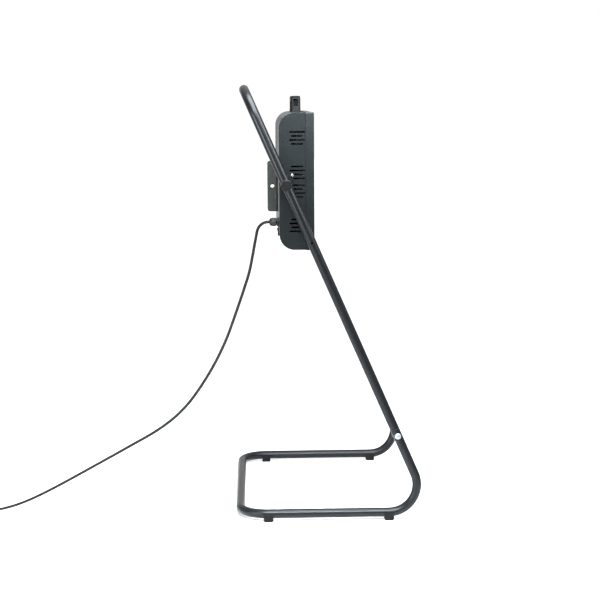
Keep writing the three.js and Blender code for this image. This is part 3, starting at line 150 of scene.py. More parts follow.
# %% [markdown]
# A skin becomes a mesh in three steps. Points that coincide at seams and poles are
# merged, slivers without an area go, and all faces are turned outwards. A mesh can also be
# read back as a skin, which is how shapes that Blender has cut or filled go on.

# %% Meshes
weld_mm = 0.002
sliver_mm = 0.001


def mesh_of(name, shape):
    """A skin in millimetres as a mesh in metres, its doubles merged and faces outwards."""
    points, faces, maps = shape
    mesh = bpy.data.meshes.new(name)
    mesh.from_pydata((points * MM).tolist(), [], faces)
    flat = mesh.uv_layers.new(name="flat map")
    flat.data.foreach_set("uv", (maps * MM).astype(np.float32).ravel())
    work = bmesh.new()
    work.from_mesh(mesh)
    bmesh.ops.remove_doubles(work, verts=work.verts, dist=weld_mm * MM)
    bmesh.ops.dissolve_degenerate(work, edges=work.edges, dist=sliver_mm * MM)
    bmesh.ops.recalc_face_normals(work, faces=work.faces)
    work.to_mesh(mesh)
    work.free()
    return mesh


def read_back(mesh):
    """A mesh in metres as a skin in millimetres."""
    points = np.empty(len(mesh.vertices) * 3, np.float32)
    mesh.vertices.foreach_get("co", points)
    faces = [list(face.vertices) for face in mesh.polygons]
    maps = np.zeros((len(mesh.loops), 2))
    return points.reshape(-1, 3).astype(float) / MM, faces, maps


def join_flats(mesh):
    """Joins neighbouring faces that turn by less than one degree against each other."""
    work = bmesh.new()
    work.from_mesh(mesh)
    bmesh.ops.dissolve_limit(work, angle_limit=np.radians(1), verts=work.verts,
                             edges=work.edges)
    work.to_mesh(mesh)
    work.free()


sample_mesh = mesh_of("sample", skin(np.array([[(0, 0, 0), (1, 0, 0)], [(0, 1, 0), (1, 1, 0)]]),
                                     around=False))
print(f"a square of 1 mm has sides of {sample_mesh.vertices[1].co.x:.3f} m in the scene")
bpy.data.meshes.remove(sample_mesh)

# %% [markdown]
# ## Putting a piece in
# A finished piece gets its mesh, its finish, the body that carries it and the CAD nodes
# that it stands for. Soft shading stops at sharp edges. Where a real edge is broken by
# the tool or the mould, a Bevel modifier rounds it, because a round edge catches the
# light as a thin bright line and a sharp one doesn't.

# %% Put a piece in
def put_in(name, skins, finish, slot, body, nodes=None, edge=0, edge_angle=35, flats=False):
    """Makes the piece, rounds its edges by edge millimetres and ties it to its body.

    It stands for the CAD node of its own name, or for those that nodes lists. flats joins
    the triangles of flat faces first, so that only real edges are left to round."""
    mesh = mesh_of(name, together(skins))
    if flats:
        join_flats(mesh)
    mesh.shade_smooth()
    mesh.set_sharp_from_angle(angle=np.radians(edge_angle))
    mesh.materials.append(finish)
    piece = bpy.data.objects.new(name.replace(" ", "-"), mesh)
    bpy.context.scene.collection.objects.link(piece)
    if edge:
        rounding = piece.modifiers.new("broken edge", "BEVEL")
        rounding.width = edge * MM
        rounding.segments = 2
        rounding.limit_method = "ANGLE"
        rounding.angle_limit = np.radians(edge_angle)
        rounding.harden_normals = True
    nodes = nodes or [name.replace(" ", "_")]
    if body:
        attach(piece, body)
    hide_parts(*nodes)
    print(f"{name}: {len(mesh.polygons)} faces, {slot}, moves with {body or 'two bodies'}")
    return piece


# %% [markdown]
# ## Finishes
# Each finish starts from the real material and how its surface was made. The colours are
# sRGB hex values, as a paint or a plastic is picked from a chart, and one function turns
# them to the linear numbers that light needs.

# %% Colour
def colour(hex_code):
    """sRGB to linear: v / 12.92 up to 0.04045, and ((v + 0.055) / 1.055) ** 2.4 above."""
    shares = np.array([int(hex_code[i:i + 2], 16) for i in (1, 3, 5)]) / 255
    dark, light = shares / 12.92, ((shares + 0.055) / 1.055) ** 2.4
    return (*np.where(shares <= 0.04045, dark, light), 1)


print("sRGB #808080 is", round(float(colour("#808080")[0]), 4), "in linear light")

# %% [markdown]
# A material is a small tree of nodes. One function adds a node with its settings and
# links, and all finishes end the same way: one pattern mixes two colours, and another one
# drives the roughness and small bumps. Patterns read Object coordinates, which are real
# metres here, so a grain of 0.4 mm is a scale of 1 / 0.4 mm.

# %% Nodes
def add(tree, kind, inputs=None, **settings):
    """Adds a node. An input that is a socket gets linked, and any other value is set."""
    node = tree.nodes.new("ShaderNode" + kind)
    for key, value in settings.items():
        setattr(node, key, value)
    for key, value in (inputs or {}).items():
        if isinstance(value, bpy.types.NodeSocket):
            tree.links.new(value, node.inputs[key])
        else:
            node.inputs[key].default_value = value
    return node


def blank(name):
    """A material with only its shader and output, and the coordinates for its patterns."""
    material = bpy.data.materials.new(name)
    material.use_nodes = True
    tree = material.node_tree
    tree.nodes.clear()
    shader = add(tree, "BsdfPrincipled")
    add(tree, "OutputMaterial", {"Surface": shader.outputs["BSDF"]})
    return material, tree, shader, add(tree, "TexCoord")


def between(tree, factor, low, high):
    """A grey pattern spread over a range of numbers, for roughness and the like."""
    return add(tree, "MapRange", {"Value": factor, "To Min": low, "To Max": high}).outputs[0]


def tinted(tree, factor, first, second):
    """Two hex colours mixed by a grey pattern."""
    return add(tree, "MixRGB", {"Fac": factor, "Color1": colour(first),
                                "Color2": colour(second)}).outputs[0]


def dress(tree, shader, shade, colours, relief, rough, bump_mm, strength=0.5):
    """Mixes two colours by the shade, and lets the relief drive roughness and bumps."""
    tree.links.new(tinted(tree, shade, *colours), shader.inputs["Base Color"])
    tree.links.new(between(tree, relief, *rough), shader.inputs["Roughness"])
    bump = add(tree, "Bump", {"Height": relief, "Strength": strength,
                              "Distance": bump_mm * MM})
    tree.links.new(bump.outputs[0], shader.inputs["Normal"])


sample_material = blank("sample")[0]
print("a blank finish has", len(sample_material.node_tree.nodes), "nodes")
bpy.data.materials.remove(sample_material)


# %% [markdown]
# ### Grained finishes
# Powder coat, moulded plastic, rubber and fired clay differ in numbers, not in kind: each
# has a base colour that drifts a little, a grain that the light catches as tiny bumps, and
# a roughness that follows the grain. So one function makes them all from real sizes.
# Two noises multiplied give the drift: both lie near 0.5, so their product runs mostly
# from 0.12 to 0.4, and that range is spread over the two colours.

# %% Grained finish
coat_cloud_mm = 30
drift_range = {"From Min": 0.12, "From Max": 0.4}


def grained(name, base, drift, grain_mm, bump_mm, roughness, spread, **fixed):
    """Colour drifts over 30 mm and speckles with the grain; bumps are bump_mm high."""
    material, tree, shader, place = blank(name)
    where = place.outputs["Object"]
    cloud = add(tree, "TexNoise", {"Vector": where, "Scale": 1 / (coat_cloud_mm * MM),
                                   "Detail": 3})
    grain = add(tree, "TexNoise", {"Vector": where, "Scale": 1 / (grain_mm * MM),
                                   "Detail": 2, "Roughness": 0.6})
    worn = add(tree, "Math", {0: cloud.outputs[0], 1: grain.outputs[0]}, operation="MULTIPLY")
    patch = add(tree, "MapRange", {"Value": worn.outputs[0], **drift_range})
    dress(tree, shader, patch.outputs[0], (base, drift), grain.outputs[0],
          (roughness - spread, roughness + spread), bump_mm, 0.6)
    for socket, value in fixed.items():
        shader.inputs[socket.replace("_", " ")].default_value = value
    print(f"{name}: {base} to {drift}, grain {grain_mm} mm, roughness {roughness}")
    return material


# %% [markdown]
# The coats on the tubes and the casing are both polyester powder, melted on in an oven.
# Satin flows out more than matt, which is textured on purpose. In this light a black coat
# reads by its reflections, so its specular level is matched with care.

# %% Powder coats
# Steel tube, satin powder coat: baked polyester skin with a soft orange peel about 1.6 mm
# wide, so the long highlight on the tube breaks up slightly.
tube_paint = grained("satin powder coat on steel tube", "#040507", "#08090c", 1.6, 0.007,
                     0.31, 0.03, IOR=1.5, Specular_IOR_Level=0.19)
# Sheet steel, matt textured powder coat: a fine grit of 0.7 mm that makes it look dry.
casing_paint = grained("matt powder coat on sheet steel", "#090d0e", "#0e1213", 0.7, 0.03,
                       0.38, 0.06, IOR=1.5, Specular_IOR_Level=0.17)
# The bracket has the casing's matt coat in a lighter, greyer colour.
bracket_paint = grained("matt grey powder coat on bracket steel", "#232624", "#2a2d2b", 0.7,
                        0.03, 0.45, 0.06, IOR=1.5, Specular_IOR_Level=0.25)

# %% [markdown]
# Moulded pieces copy the skin of their mould: blasted steel gives a dull grain, spark
# eroded steel a finer one, and polished steel almost none. Rubber and fired clay have no
# gloss of their own at all.

# %% Plastics, rubber and clay
# Glass-filled nylon, moulded in a spark-eroded tool: an even fine grain without gloss.
black_nylon = grained("moulded black nylon", "#060607", "#0a0a0b", 0.5, 0.006,
                      0.36, 0.05, IOR=1.53, Specular_IOR_Level=0.18)
# Polypropylene of the carrying handle, moulded in a blasted tool: duller than the nylon.
handle_plastic = grained("moulded matt polypropylene", "#060607", "#0a0a0b", 0.4, 0.006,
                         0.48, 0.05, IOR=1.49, Specular_IOR_Level=0.06)
# ABS, moulded in a polished tool: nearly smooth, so it mirrors the lights.
gloss_plastic = grained("moulded gloss black plastic", "#0c0d0e", "#131415", 3, 0.004,
                        0.2, 0.05, IOR=1.54)
# Synthetic rubber, moulded: dull, greyer where it has rubbed on the floor.
foot_rubber = grained("moulded black rubber", "#060606", "#0c0c0c", 0.8, 0.03,
                      0.8, 0.1, IOR=1.5, Specular_IOR_Level=0.15)
# Steatite, pressed and fired: cream white with a dry surface.
steatite = grained("fired steatite", "#d9d2c2", "#ebe5d8", 0.6, 0.02, 0.6, 0.08, IOR=1.6)
# Cordierite, pressed from coarser clay for the rods' ends, rough; its near black brown grey
# is painted shade, so the slots in the casing stay dark.
clay_dark_as_shade = grained("fired cordierite", "#1d1a17", "#2a2521", 1.2, 0.05, 0.8, 0.08,
                     IOR=1.55, Specular_IOR_Level=0.3)


# %% [markdown]
# ### Metals
# A metal's colour is in its mirror, so the patterns here are in roughness and in fine
# lines left by drawing, rolling or turning. Zinc plate is bluish and a little cloudy,
# rolled aluminium is bright with lines along the sheet, and a heated rod darkens to a
# brown grey that changes along its length.

# %% Metal finish
metal_cloud_mm = 25


def metal(name, base, drift, line_mm, bump_mm, roughness, spread, stretch=(1, 1, 1)):
    """Fine noise of line_mm, drawn out along an axis by stretch, makes the tool lines."""
    material, tree, shader, place = blank(name)
    shader.inputs["Metallic"].default_value = 1
    drawn = add(tree, "Mapping", {"Vector": place.outputs["Object"], "Scale": stretch})
    lines = add(tree, "TexNoise", {"Vector": drawn.outputs[0], "Scale": 1 / (line_mm * MM),
                                   "Detail": 4})
    cloud = add(tree, "TexNoise", {"Vector": place.outputs["Object"],
                                   "Scale": 1 / (metal_cloud_mm * MM), "Detail": 3})
    dress(tree, shader, cloud.outputs[0], (base, drift), lines.outputs[0],
          (roughness - spread, roughness + spread), bump_mm)
    print(f"{name}: {base} to {drift}, lines {line_mm} mm, roughness {roughness}")
    return material


# %% [markdown]
# The stretch numbers make a pattern longer along one axis. Wires, rods and sheets here all
# run along X, the width of the heater, so X is read at a small part of its scale.

# %% Metals of the heater
# Steel screws and bolts, cold headed and zinc plated: silver with a blue cast.
zinc_plate = metal("zinc plated steel", "#858a90", "#9a9da1", 0.8, 0.004, 0.42, 0.08)
# Stainless wire, drawn through a die: lines along the wire that the weld heat has dulled.
drawn_wire = metal("drawn stainless wire", "#9ea1a3", "#b4b2ac", 0.5, 0.004, 0.32, 0.08,
                   (0.05, 1, 1))
# Aluminium reflector sheet, rolled bright: a long soft mirror with lines across the head.
bright_sheet = metal("bright rolled aluminium", "#dfe1e3", "#eceded", 0.8, 0.003, 0.14, 0.05,
                     (0.02, 1, 1))
# Nickel alloy heating rod, drawn and heated: oxide browns that drift along the rod.
heated_rod = metal("heat darkened nickel alloy", "#4d4641", "#6b6055", 1.2, 0.01, 0.46, 0.1,
                   (0.3, 1, 1))
# Mill finish of the reflector's rear and of the heat shield, dulled by heat; its near black tone
# is painted shade.
mill_sheet_dark_as_shade = metal("heat dulled aluminium, painted dark as shade", "#292827", "#363433", 1.5, 0.006, 0.6,
                   0.08, (0.05, 1, 1))
# Brass pins, turned and nickel plated: warm white and almost a mirror.
nickel_pin = metal("nickel plated brass", "#d2cec4", "#dedbd2", 0.4, 0.002, 0.2, 0.05)
# Aluminised steel of the comb that holds the rods, rolled: a duller sheet than the reflector.
dull_sheet = metal("rolled aluminised steel", "#a4a6a8", "#b9babb", 1, 0.004, 0.42, 0.08,
                   (0.05, 1, 1))

# %% [markdown]
# ### Cord sheath
# The mains cord is soft PVC, pressed through a die round its cores. The die leaves faint
# lines along the cord, so this pattern reads the cord's own flat map, stretched along its
# length, and stays with the cord where it bends.

# %% Cord sheath
die_line_mm = 0.8
die_line_length_mm = 40
die_line_depth_mm = 0.03


def extruded_sheath(name, base, drift):
    """Noise of 0.8 mm around and 40 mm along the cord gives its die lines."""
    material, tree, shader, place = blank(name)
    scale = (1 / (die_line_length_mm * MM), 1 / (die_line_mm * MM), 1)
    drawn = add(tree, "Mapping", {"Vector": place.outputs["UV"], "Scale": scale})
    lines = add(tree, "TexNoise", {"Vector": drawn.outputs[0], "Scale": 1, "Detail": 2})
    dress(tree, shader, lines.outputs[0], (base, drift), lines.outputs[0], (0.4, 0.55),
          die_line_depth_mm)
    shader.inputs["Specular IOR Level"].default_value = 0.2
    print(f"{name}: {base} to {drift}, die lines {die_line_mm} mm")
    return material


cord_sheath = extruded_sheath("extruded black PVC", "#060607", "#0c0c0d")

# %% [markdown]
# ## Tubes
# A tube is a round section carried along a line. Two cross directions travel with the
# line and are only tipped as much as the line bends, so the section never twists. Each
# ring is then centre + radius * (cos a * side + sin a * lift). Blender's curve bevel
# makes the same tube, but here every ring's radius can change, for chamfers and swages.

# %% Lines
def unit(vectors):
    """Each vector divided by its own length."""
    return vectors / np.linalg.norm(vectors, axis=-1, keepdims=True)


def columns(*parts):
    """Numbers and rows of numbers side by side, as the x, y and z of a row of points."""
    return np.stack(np.broadcast_arrays(*parts), axis=-1).astype(float)


def distances(line):
    """The distance along a line at each of its points: the sum of all steps before it."""
    return np.append(0, np.cumsum(np.linalg.norm(np.diff(line, axis=0), axis=1)))


def resampled(line, spacing):
    """Points at even distances along a line."""
    far = distances(line)
    even = np.linspace(0, far[-1], int(round(far[-1] / spacing)) + 1)
    return columns(*(np.interp(even, far, line[:, axis]) for axis in range(3)))


def bent(corners, radius, steps=20):
    """Straight runs between corners, with an arc of the bending radius at each one.

    Arc point: start + r sin a * before + r (1 - cos a) * inward, for a up to the turn."""
    corners = np.array(corners, float)
    heading = unit(np.diff(corners, axis=0))
    stretches = [corners[:1]]
    for corner, before, after in zip(corners[1:-1], heading[:-1], heading[1:]):
        turn = np.arccos(np.clip(before @ after, -1, 1))
        inward = unit(after - before * (before @ after))
        angle = np.linspace(0, turn, steps + 1)[:, None]
        start = corner - before * radius * np.tan(turn / 2)
        stretches.append(start + radius * (np.sin(angle) * before
                                           + (1 - np.cos(angle)) * inward))
    stretches.append(corners[-1:])
    return np.concatenate(stretches)


elbow = bent([(0, 0, 0), (100, 0, 0), (100, 100, 0)], 50)
print(f"two runs of 100 mm, bent with 50 mm: {distances(elbow)[-1]:.1f} mm of tube")

# %% [markdown]
# Each new cross direction is the last one, less its part along the line, made one long
# again: side - tangent * (side . tangent). A bar is then one ring for every point of the
# line, with two smaller rings that soften its ends.

# %% Rings and tubes
def carried(line):
    """The cross directions at every point of a line, carried along it without a twist."""
    tangent = unit(np.gradient(line, axis=0))
    first = np.eye(3)[np.argmin(np.abs(tangent[0]))]
    side = np.empty_like(line)
    side[0] = unit(first - tangent[0] * (first @ tangent[0]))
    for i in range(1, len(line)):
        side[i] = unit(side[i - 1] - tangent[i] * (side[i - 1] @ tangent[i]))
    return side, np.cross(tangent, side)


def rings(line, radii, sides, frames=None):
    """One ring per point: centre + radius * (cos a * side + sin a * lift)."""
    side, lift = carried(line) if frames is None else frames
    angle = np.arange(sides) * 2 * np.pi / sides
    round_part = (np.cos(angle)[None, :, None] * side[:, None, :]
                  + np.sin(angle)[None, :, None] * lift[:, None, :])
    return line[:, None, :] + np.broadcast_to(radii, len(line))[:, None, None] * round_part


def end_headings(line):
    """The directions in which a line starts and ends."""
    return unit(line[1] - line[0]), unit(line[-1] - line[-2])


def tube(line, radius, sides=24, soft_end=0.3):
    """A solid round bar along a line, its ends rounded off a little."""
    line = np.array(line, float)
    first, last = end_headings(line)
    line = np.concatenate([line[:1], line[:1] + first * soft_end, line[1:-1],
                           line[-1:] - last * soft_end, line[-1:]])
    radii = np.full(len(line), float(radius))
    radii[[0, -1]] = radius - soft_end
    around = np.linspace(0, 2 * np.pi * radius, sides + 1)
    return skin(rings(line, radii, sides), lengths=distances(line), widths=around)


print(f"the elbow as a bar of 10 mm has {len(tube(elbow, 5)[0])} points")


# %% [markdown]
# ## Mains cord
# The cord leaves the gland on the back, drops, and runs out of the picture along the
# floor. About 1 m of it shows. The rest of a usual length lies wound on the floor just
# outside the picture, with its plug. It could be simulated, but a listed route is
# the same on every run. A centripetal Catmull-Rom curve goes through its points and
# doesn't loop or overshoot where they lie close together.

# %% Route of the cord
# The route's pairs are the distance behind the gland's mouth and the height above the floor.
pivot = np.array([0, 93.231, 781.7])
cord_thickness = 7
gland_across = -180
gland_mouth = pivot[1] + 38
cord_route = np.array([
    (0.3, 690.4), (2.75, 690.4), (9.35, 689.5), (15.85, 686.8), (21.45, 682.4),
    (25.75, 676.7), (28.35, 670.3), (30.35, 661), (34.95, 637.5), (40.95, 606),
    (48.25, 572.5), (60.05, 535.5), (73.05, 497.7), (86.55, 459.8), (100.75, 421.8),
    (117.95, 383.7), (138.25, 345.5), (161.75, 307.3), (189.25, 269), (205.75, 250),
    (225.35, 230.8), (249.05, 211.7), (276.75, 193), (303.75, 177.3), (338.75, 158),
    (373.75, 138.6), (408.75, 119.4), (443.75, 100.2), (478.75, 81.2), (513.75, 62.6),
    (548.75, 45), (583.75, 29.2), (618.75, 16.8), (653.75, 8.8), (688.75, 5.6),
    (716.75, 5.4),
])


def through(points, steps=8):
    """Centripetal Catmull-Rom: knots lie the square root of the distance apart.

    Between two points the curve is (2u^3 - 3u^2 + 1) p + (u^3 - 2u^2 + u) m
    + (3u^2 - 2u^3) q + (u^3 - u^2) n, with the slopes m and n from the neighbours."""
    padded = np.concatenate([[2 * points[0] - points[1]], points,
                             [2 * points[-1] - points[-2]]])
    knot = np.sqrt(np.linalg.norm(np.diff(padded, axis=0), axis=1))[:, None]
    before, here, after = knot[:-2], knot[1:-1], knot[2:]
    a, p, q, b = padded[:-3], padded[1:-2], padded[2:-1], padded[3:]
    m = ((p - a) / before - (q - a) / (before + here) + (q - p) / here) * here
    n = ((q - p) / here - (b - p) / (here + after) + (b - q) / after) * here
    u = np.arange(steps)[None, :, None] / steps
    p, q, m, n = p[:, None], q[:, None], m[:, None], n[:, None]
    curve = ((2 * u**3 - 3 * u**2 + 1) * p + (u**3 - 2 * u**2 + u) * m
             + (3 * u**2 - 2 * u**3) * q + (u**3 - u**2) * n)
    return np.concatenate([curve.reshape(-1, 3), points[-1:]])


free_points = columns(gland_across, gland_mouth + cord_route[:, 0], cord_route[:, 1])
free_line = through(free_points)
print(f"free cord: {distances(free_line)[-1]:.0f} mm")

# %% [markdown]
# The put-away rest winds in flat turns towards the middle, climbs one cord thickness as
# it turns back, and winds out on top. Then it leaves the coil straight for the plug.
# The spiral is centre + radius * (cos a, sin a), with the radius falling by one pitch
# per turn on the way in and rising again on the way out.

# %% Coil of the cord
coil_radius = 46
coil_pitch = 7.6
coil_layer = 7.45
turns_in = 2
turns_climb = 0.5
turns_out = 1.25
coil_lead = 60
play = 0.3
plug_lift = 19.2
depth_in_gland = 5
depth_in_plug = 6
ring_spacing = 2.5
coil_centre = free_line[-1] + [coil_radius, cord_thickness + play, 0]


def coil_at(turns):
    """Radius 46 - 7.6 (t - 2 max(t - 2, 0)), angle pi - 2 pi t, height by a cosine step."""
    turns = np.asarray(turns, float)
    climb = np.clip((turns - turns_in) / turns_climb + 0.5, 0, 1)
    radius = coil_radius - coil_pitch * (turns - 2 * np.maximum(turns - turns_in, 0))
    angle = np.pi - 2 * np.pi * turns
    return coil_centre + columns(radius * np.cos(angle), radius * np.sin(angle),
                                 coil_layer * (1 - np.cos(np.pi * climb)) / 2)


coil_line = coil_at(np.linspace(0, turns_in + turns_out, 240))
share = np.linspace(0, 1, 13)[1:]
rise = np.minimum(share * (coil_lead + cord_thickness) / coil_lead, 1)
lead_line = coil_line[-1] + columns(
    coil_lead * share, 0, (plug_lift - coil_line[-1, 2]) * (1 - np.cos(np.pi * rise)) / 2)
inside_gland = free_line[:1] - [0, depth_in_gland, 0]
inside_plug = lead_line[-1:] + [depth_in_plug, 0, 0]
cord_line = resampled(np.concatenate([inside_gland, free_line, coil_line, lead_line,
                                      inside_plug]), ring_spacing)
cord_length = distances(cord_line)[-1]
print(f"whole cord: {cord_length:.0f} mm in {len(cord_line)} rings")

# %% [markdown]
# ## Turned pieces
# Much of the heater comes off a lathe or out of a round mould: screws, bolts, washers,
# knobs, the gland and the plug. Each is a profile of radius and distance that goes round
# an axis. Blender's Spin and Screw do the same, but a formula can also bend the round
# section as it goes, which gives hexagons, ribs and lobes.

# %% Turned pieces
def softened(corners, radius, steps=4):
    """A profile with each inner corner cut by an arc-like curve of the given reach.

    Between the two cut points the curve is (1-t)^2 a + 2t(1-t) corner + t^2 b."""
    corners = np.array(corners, float)
    out = [corners[:1]]
    t = np.linspace(0, 1, steps + 1)[:, None]
    for last, corner, next_corner in zip(corners[:-2], corners[1:-1], corners[2:]):
        reach = min(radius, np.linalg.norm(corner - last) / 2,
                    np.linalg.norm(next_corner - corner) / 2)
        if reach == 0:
            continue
        a = corner + unit(last - corner) * reach
        b = corner + unit(next_corner - corner) * reach
        out.append((1 - t) ** 2 * a + 2 * t * (1 - t) * corner + t ** 2 * b)
    out.append(corners[-1:])
    return np.concatenate(out)


def turned(profile, place, axis, sides=48, shape=None):
    """The profile's [radius, distance] goes round an axis: x, y or z, signed 1 or -1.

    shape(angle, radius, distance) may bend the round section, as for hexagons."""
    profile = np.array(profile, float)
    angle = np.arange(sides)[None, :] * 2 * np.pi / sides
    radius, along = profile[:, :1], profile[:, 1:2]
    radius = np.broadcast_to(radius, (len(profile), sides))
    if shape is not None:
        radius = shape(angle, radius, along)
    number, sign = {"x": 0, "y": 1, "z": 2}[axis[-1]], -1 if axis[0] == "-" else 1
    grid = np.empty((len(profile), sides, 3))
    first, second = [(1, 2), (0, 2), (0, 1)][number]
    grid[..., number] = sign * along
    grid[..., first] = radius * np.cos(angle)
    grid[..., second] = radius * np.sin(angle)
    return skin(grid + np.array(place, float))


def disc(radius, low, high, soft=0.4):
    """Profile of a plain round bar between two distances, its rims softened."""
    return softened([(0, low), (radius, low), (radius, high), (0, high)], soft)


coin = turned(disc(10, 0, 2), (0, 0, 0), "z")
print(f"a disc with soft rims, turned in 48 steps, has {len(coin[1])} faces")

# %% [markdown]
# ## Plug
# The plug is moulded rubber on the cord's end: a ribbed tail that bends with the cord, a
# waist for the fingers and a round face. Rings along the tail are waves in the profile,
# 0.45 (1 - cos 2 pi s / 4) deep, and the finger ribs are waves round the waist.

# %% Plug
tail_length = 20
tail_pitch = 4
waist_radius = 13
waist_start = 27
waist_end = 41
face_radius = 19
plug_length = 54
plug_start = lead_line[-1] + [play, 0, 0]
tail = np.linspace(0, tail_length, 41)
tail_waves = 0.45 * (1 - np.cos(2 * np.pi * tail / tail_pitch)) * (tail < tail_length - 1)
tail_profile = columns(4.9 + 2.1 * tail / tail_length - tail_waves, tail)
body_profile = softened([
    (7, tail_length), (waist_radius, waist_start), (waist_radius, waist_end),
    (face_radius, waist_end + 3), (face_radius, plug_length), (0, plug_length)], 2.4, 6)
plug_profile = np.concatenate([[(3.6, 0)], tail_profile, body_profile])


def finger_ribs(angle, radius, along):
    """Shallow grip waves on the waist only: radius - 0.5 (1 + cos 18 a) / 2."""
    on_waist = ((along > waist_start) & (along < waist_end)) * 1.0
    return radius - 0.5 * on_waist * (1 + np.cos(18 * angle)) / 2


plug_body = put_in("plug body", [turned(plug_profile, plug_start, "x", 144, finger_ribs)],
                   foot_rubber, "cord_sheath", "stand")

# %% [markdown]
# Its two pins are turned brass, nickel plated, with a cone at the tip to find the holes.
# They start inside the plug's body, so no gap can show round them.

# %% Pins
pin_radius = 2.4
pin_spacing = 19
pin_start = 45
pin_tip = 73
pin_profile = softened([(0, pin_start), (pin_radius, pin_start), (pin_radius, pin_tip - 2),
                        (pin_radius / 2, pin_tip), (0, pin_tip)], 0.8)
pins = [turned(pin_profile, plug_start + [0, end * pin_spacing / 2, 0], "x", 32)
        for end in (-1, 1)]
plug_pins = put_in("plug pins", pins, nickel_pin, "pin_brass", "stand")

# %% [markdown]
# ## Tie
# The tie is a flat strap round the strands on the far side of the coil. A tight strap
# follows circles and the straight tangents between them. For a direction n, the point
# of the strap that lies furthest that way is the furthest of (centre + radius * n),
# so running n once round gives the whole outline.

# %% Tie
def band_round(circles, grow, count=96):
    """Outline round circles [u, v, radius]: the furthest centre + (radius + grow) n."""
    circles = np.array(circles, float)
    angle = np.arange(count) * 2 * np.pi / count
    n = columns(np.cos(angle), np.sin(angle))
    reach = n @ circles[:, :2].T + circles[:, 2]
    pick = circles[np.argmax(reach, axis=1)]
    return pick[:, :2] + (pick[:, 2:] + grow) * n


tie_half = 5
tie_clear = 1.1
tie_thickness = 0.7
strands = [(x, z, cord_thickness / 2) for x, y, z in coil_at([0.5, 1.5, 2.5])]
tie_inside = band_round(strands, tie_clear)
tie_outside = band_round(strands, tie_clear + tie_thickness)
tie_grid = np.stack([
    columns(outline[:, 0], coil_centre[1] + end * tie_half, outline[:, 1])
    for outline, end in ((tie_outside, -1), (tie_outside, 1), (tie_inside, 1), (tie_inside, -1))])
cord_tie = put_in("cord tie", [skin(tie_grid, along=True)], black_nylon, "black_plastic",
                  "stand", edge=0.2)

# %% [markdown]
# ## Cord
# The cord itself is one tube over the whole route. On the real heater its upper end moves
# with the head and its lower part stays on the floor; here it is tied to no body.

# %% Cord
cord_sides = 12
cord_around = np.linspace(0, np.pi * cord_thickness, cord_sides + 1)
cord_skin = skin(rings(cord_line, cord_thickness / 2, cord_sides),
                 lengths=distances(cord_line), widths=cord_around)
cord = put_in("mains cord", [cord_skin], cord_sheath, "cord_sheath", None,
              ["cord", "cord_coil"])
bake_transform(cord)

# %% [markdown]
# ## Stand
# The stand is two bent tubes of 22 mm. The lower one runs once round the floor and turns
# up into the front legs, and the upper one is an arch that plugs into it. A tube bender
# gives every bend the same radius, 65 mm on the middle line, which is what makes such a
# frame look regular. The lean of the legs and the corners below give the whole line.

# %% Lines of the stand
tube_radius = 11
tube_bore = 9.5
bend_radius = 65
half_stand = 280
rail_height = 17.5
lean = np.radians(23.56)
rail_end = 140.75
floor_reach = rail_end + bend_radius
front_corner = -rail_end - bend_radius * np.tan((np.pi / 2 + lean) / 2)
joint_height = 215.5
arch_height = 996
leg_heading = np.array([0, np.sin(lean), np.cos(lean)])


def on_leg(x, height):
    """The point of a leg's middle line at a height, x across."""
    return np.array([x, front_corner + (height - rail_height) * np.tan(lean), height])


base_line = bent([
    on_leg(-half_stand, joint_height), (-half_stand, front_corner, rail_height),
    (-half_stand, floor_reach, rail_height), (half_stand, floor_reach, rail_height),
    (half_stand, front_corner, rail_height), on_leg(half_stand, joint_height)], bend_radius)
upper_line = bent([
    on_leg(-half_stand, joint_height), on_leg(-half_stand, arch_height),
    on_leg(half_stand, arch_height), on_leg(half_stand, joint_height)], bend_radius)
print(f"base tube {distances(base_line)[-1]:.0f} mm, arch {distances(upper_line)[-1]:.0f} mm")

# %% [markdown]
# A tube with a wall could be a bar with a Solidify modifier, but the ends need chamfers
# and swages. So the pipe's surface goes forward along the outside and back along the
# bore.

# %% Pipes
def pipe(line, ends, sides=40):
    """A tube with a wall. ends lists [distance from the end, outer radius, bore radius].

    The same list shapes both ends. The outer rings run forward and the inner rings run
    back, and the surface closes on itself, so the wall is one closed skin."""
    ends = np.array(ends, float)
    far = np.concatenate([ends[:, 0], distances(line)[1:-1], distances(line)[-1] - ends[::-1, 0]])
    first, last = end_headings(line)
    middle = np.concatenate([line[0] + ends[:, :1] * first, line[1:-1],
                             line[-1] - ends[::-1, :1] * last])
    steady = np.tile(ends[-1, 1:], (len(line) - 2, 1))
    radii = np.concatenate([ends[:, 1:], steady, ends[::-1, 1:]])
    spaced = np.concatenate([line[:1], middle[len(ends):-len(ends)], line[-1:]])
    side, lift = carried(spaced)
    grow = np.concatenate([np.zeros(len(ends) - 1, int), np.arange(len(spaced)),
                           np.full(len(ends) - 1, len(spaced) - 1)])
    frames = side[grow], lift[grow]
    outer = rings(middle, radii[:, 0], sides, frames)
    inner = rings(middle, radii[:, 1], sides, frames)
    return skin(np.concatenate([outer, inner[::-1]]), along=True,
                lengths=np.concatenate([far, far[::-1]]))


sleeve = pipe(elbow, [(0, 9, 8), (1, 10, 8)])
print(f"the elbow as a pipe has {len(sleeve[1])} faces, all quads on one closed skin")

# %% [markdown]
# Holes are drilled, punched or milled after a blank is made. An exact boolean does the
# same here: each tool is a closed skin that is taken away, and the cut mesh is read back
# as a skin. The modifiers are used up inside the function, so nothing is left to follow.

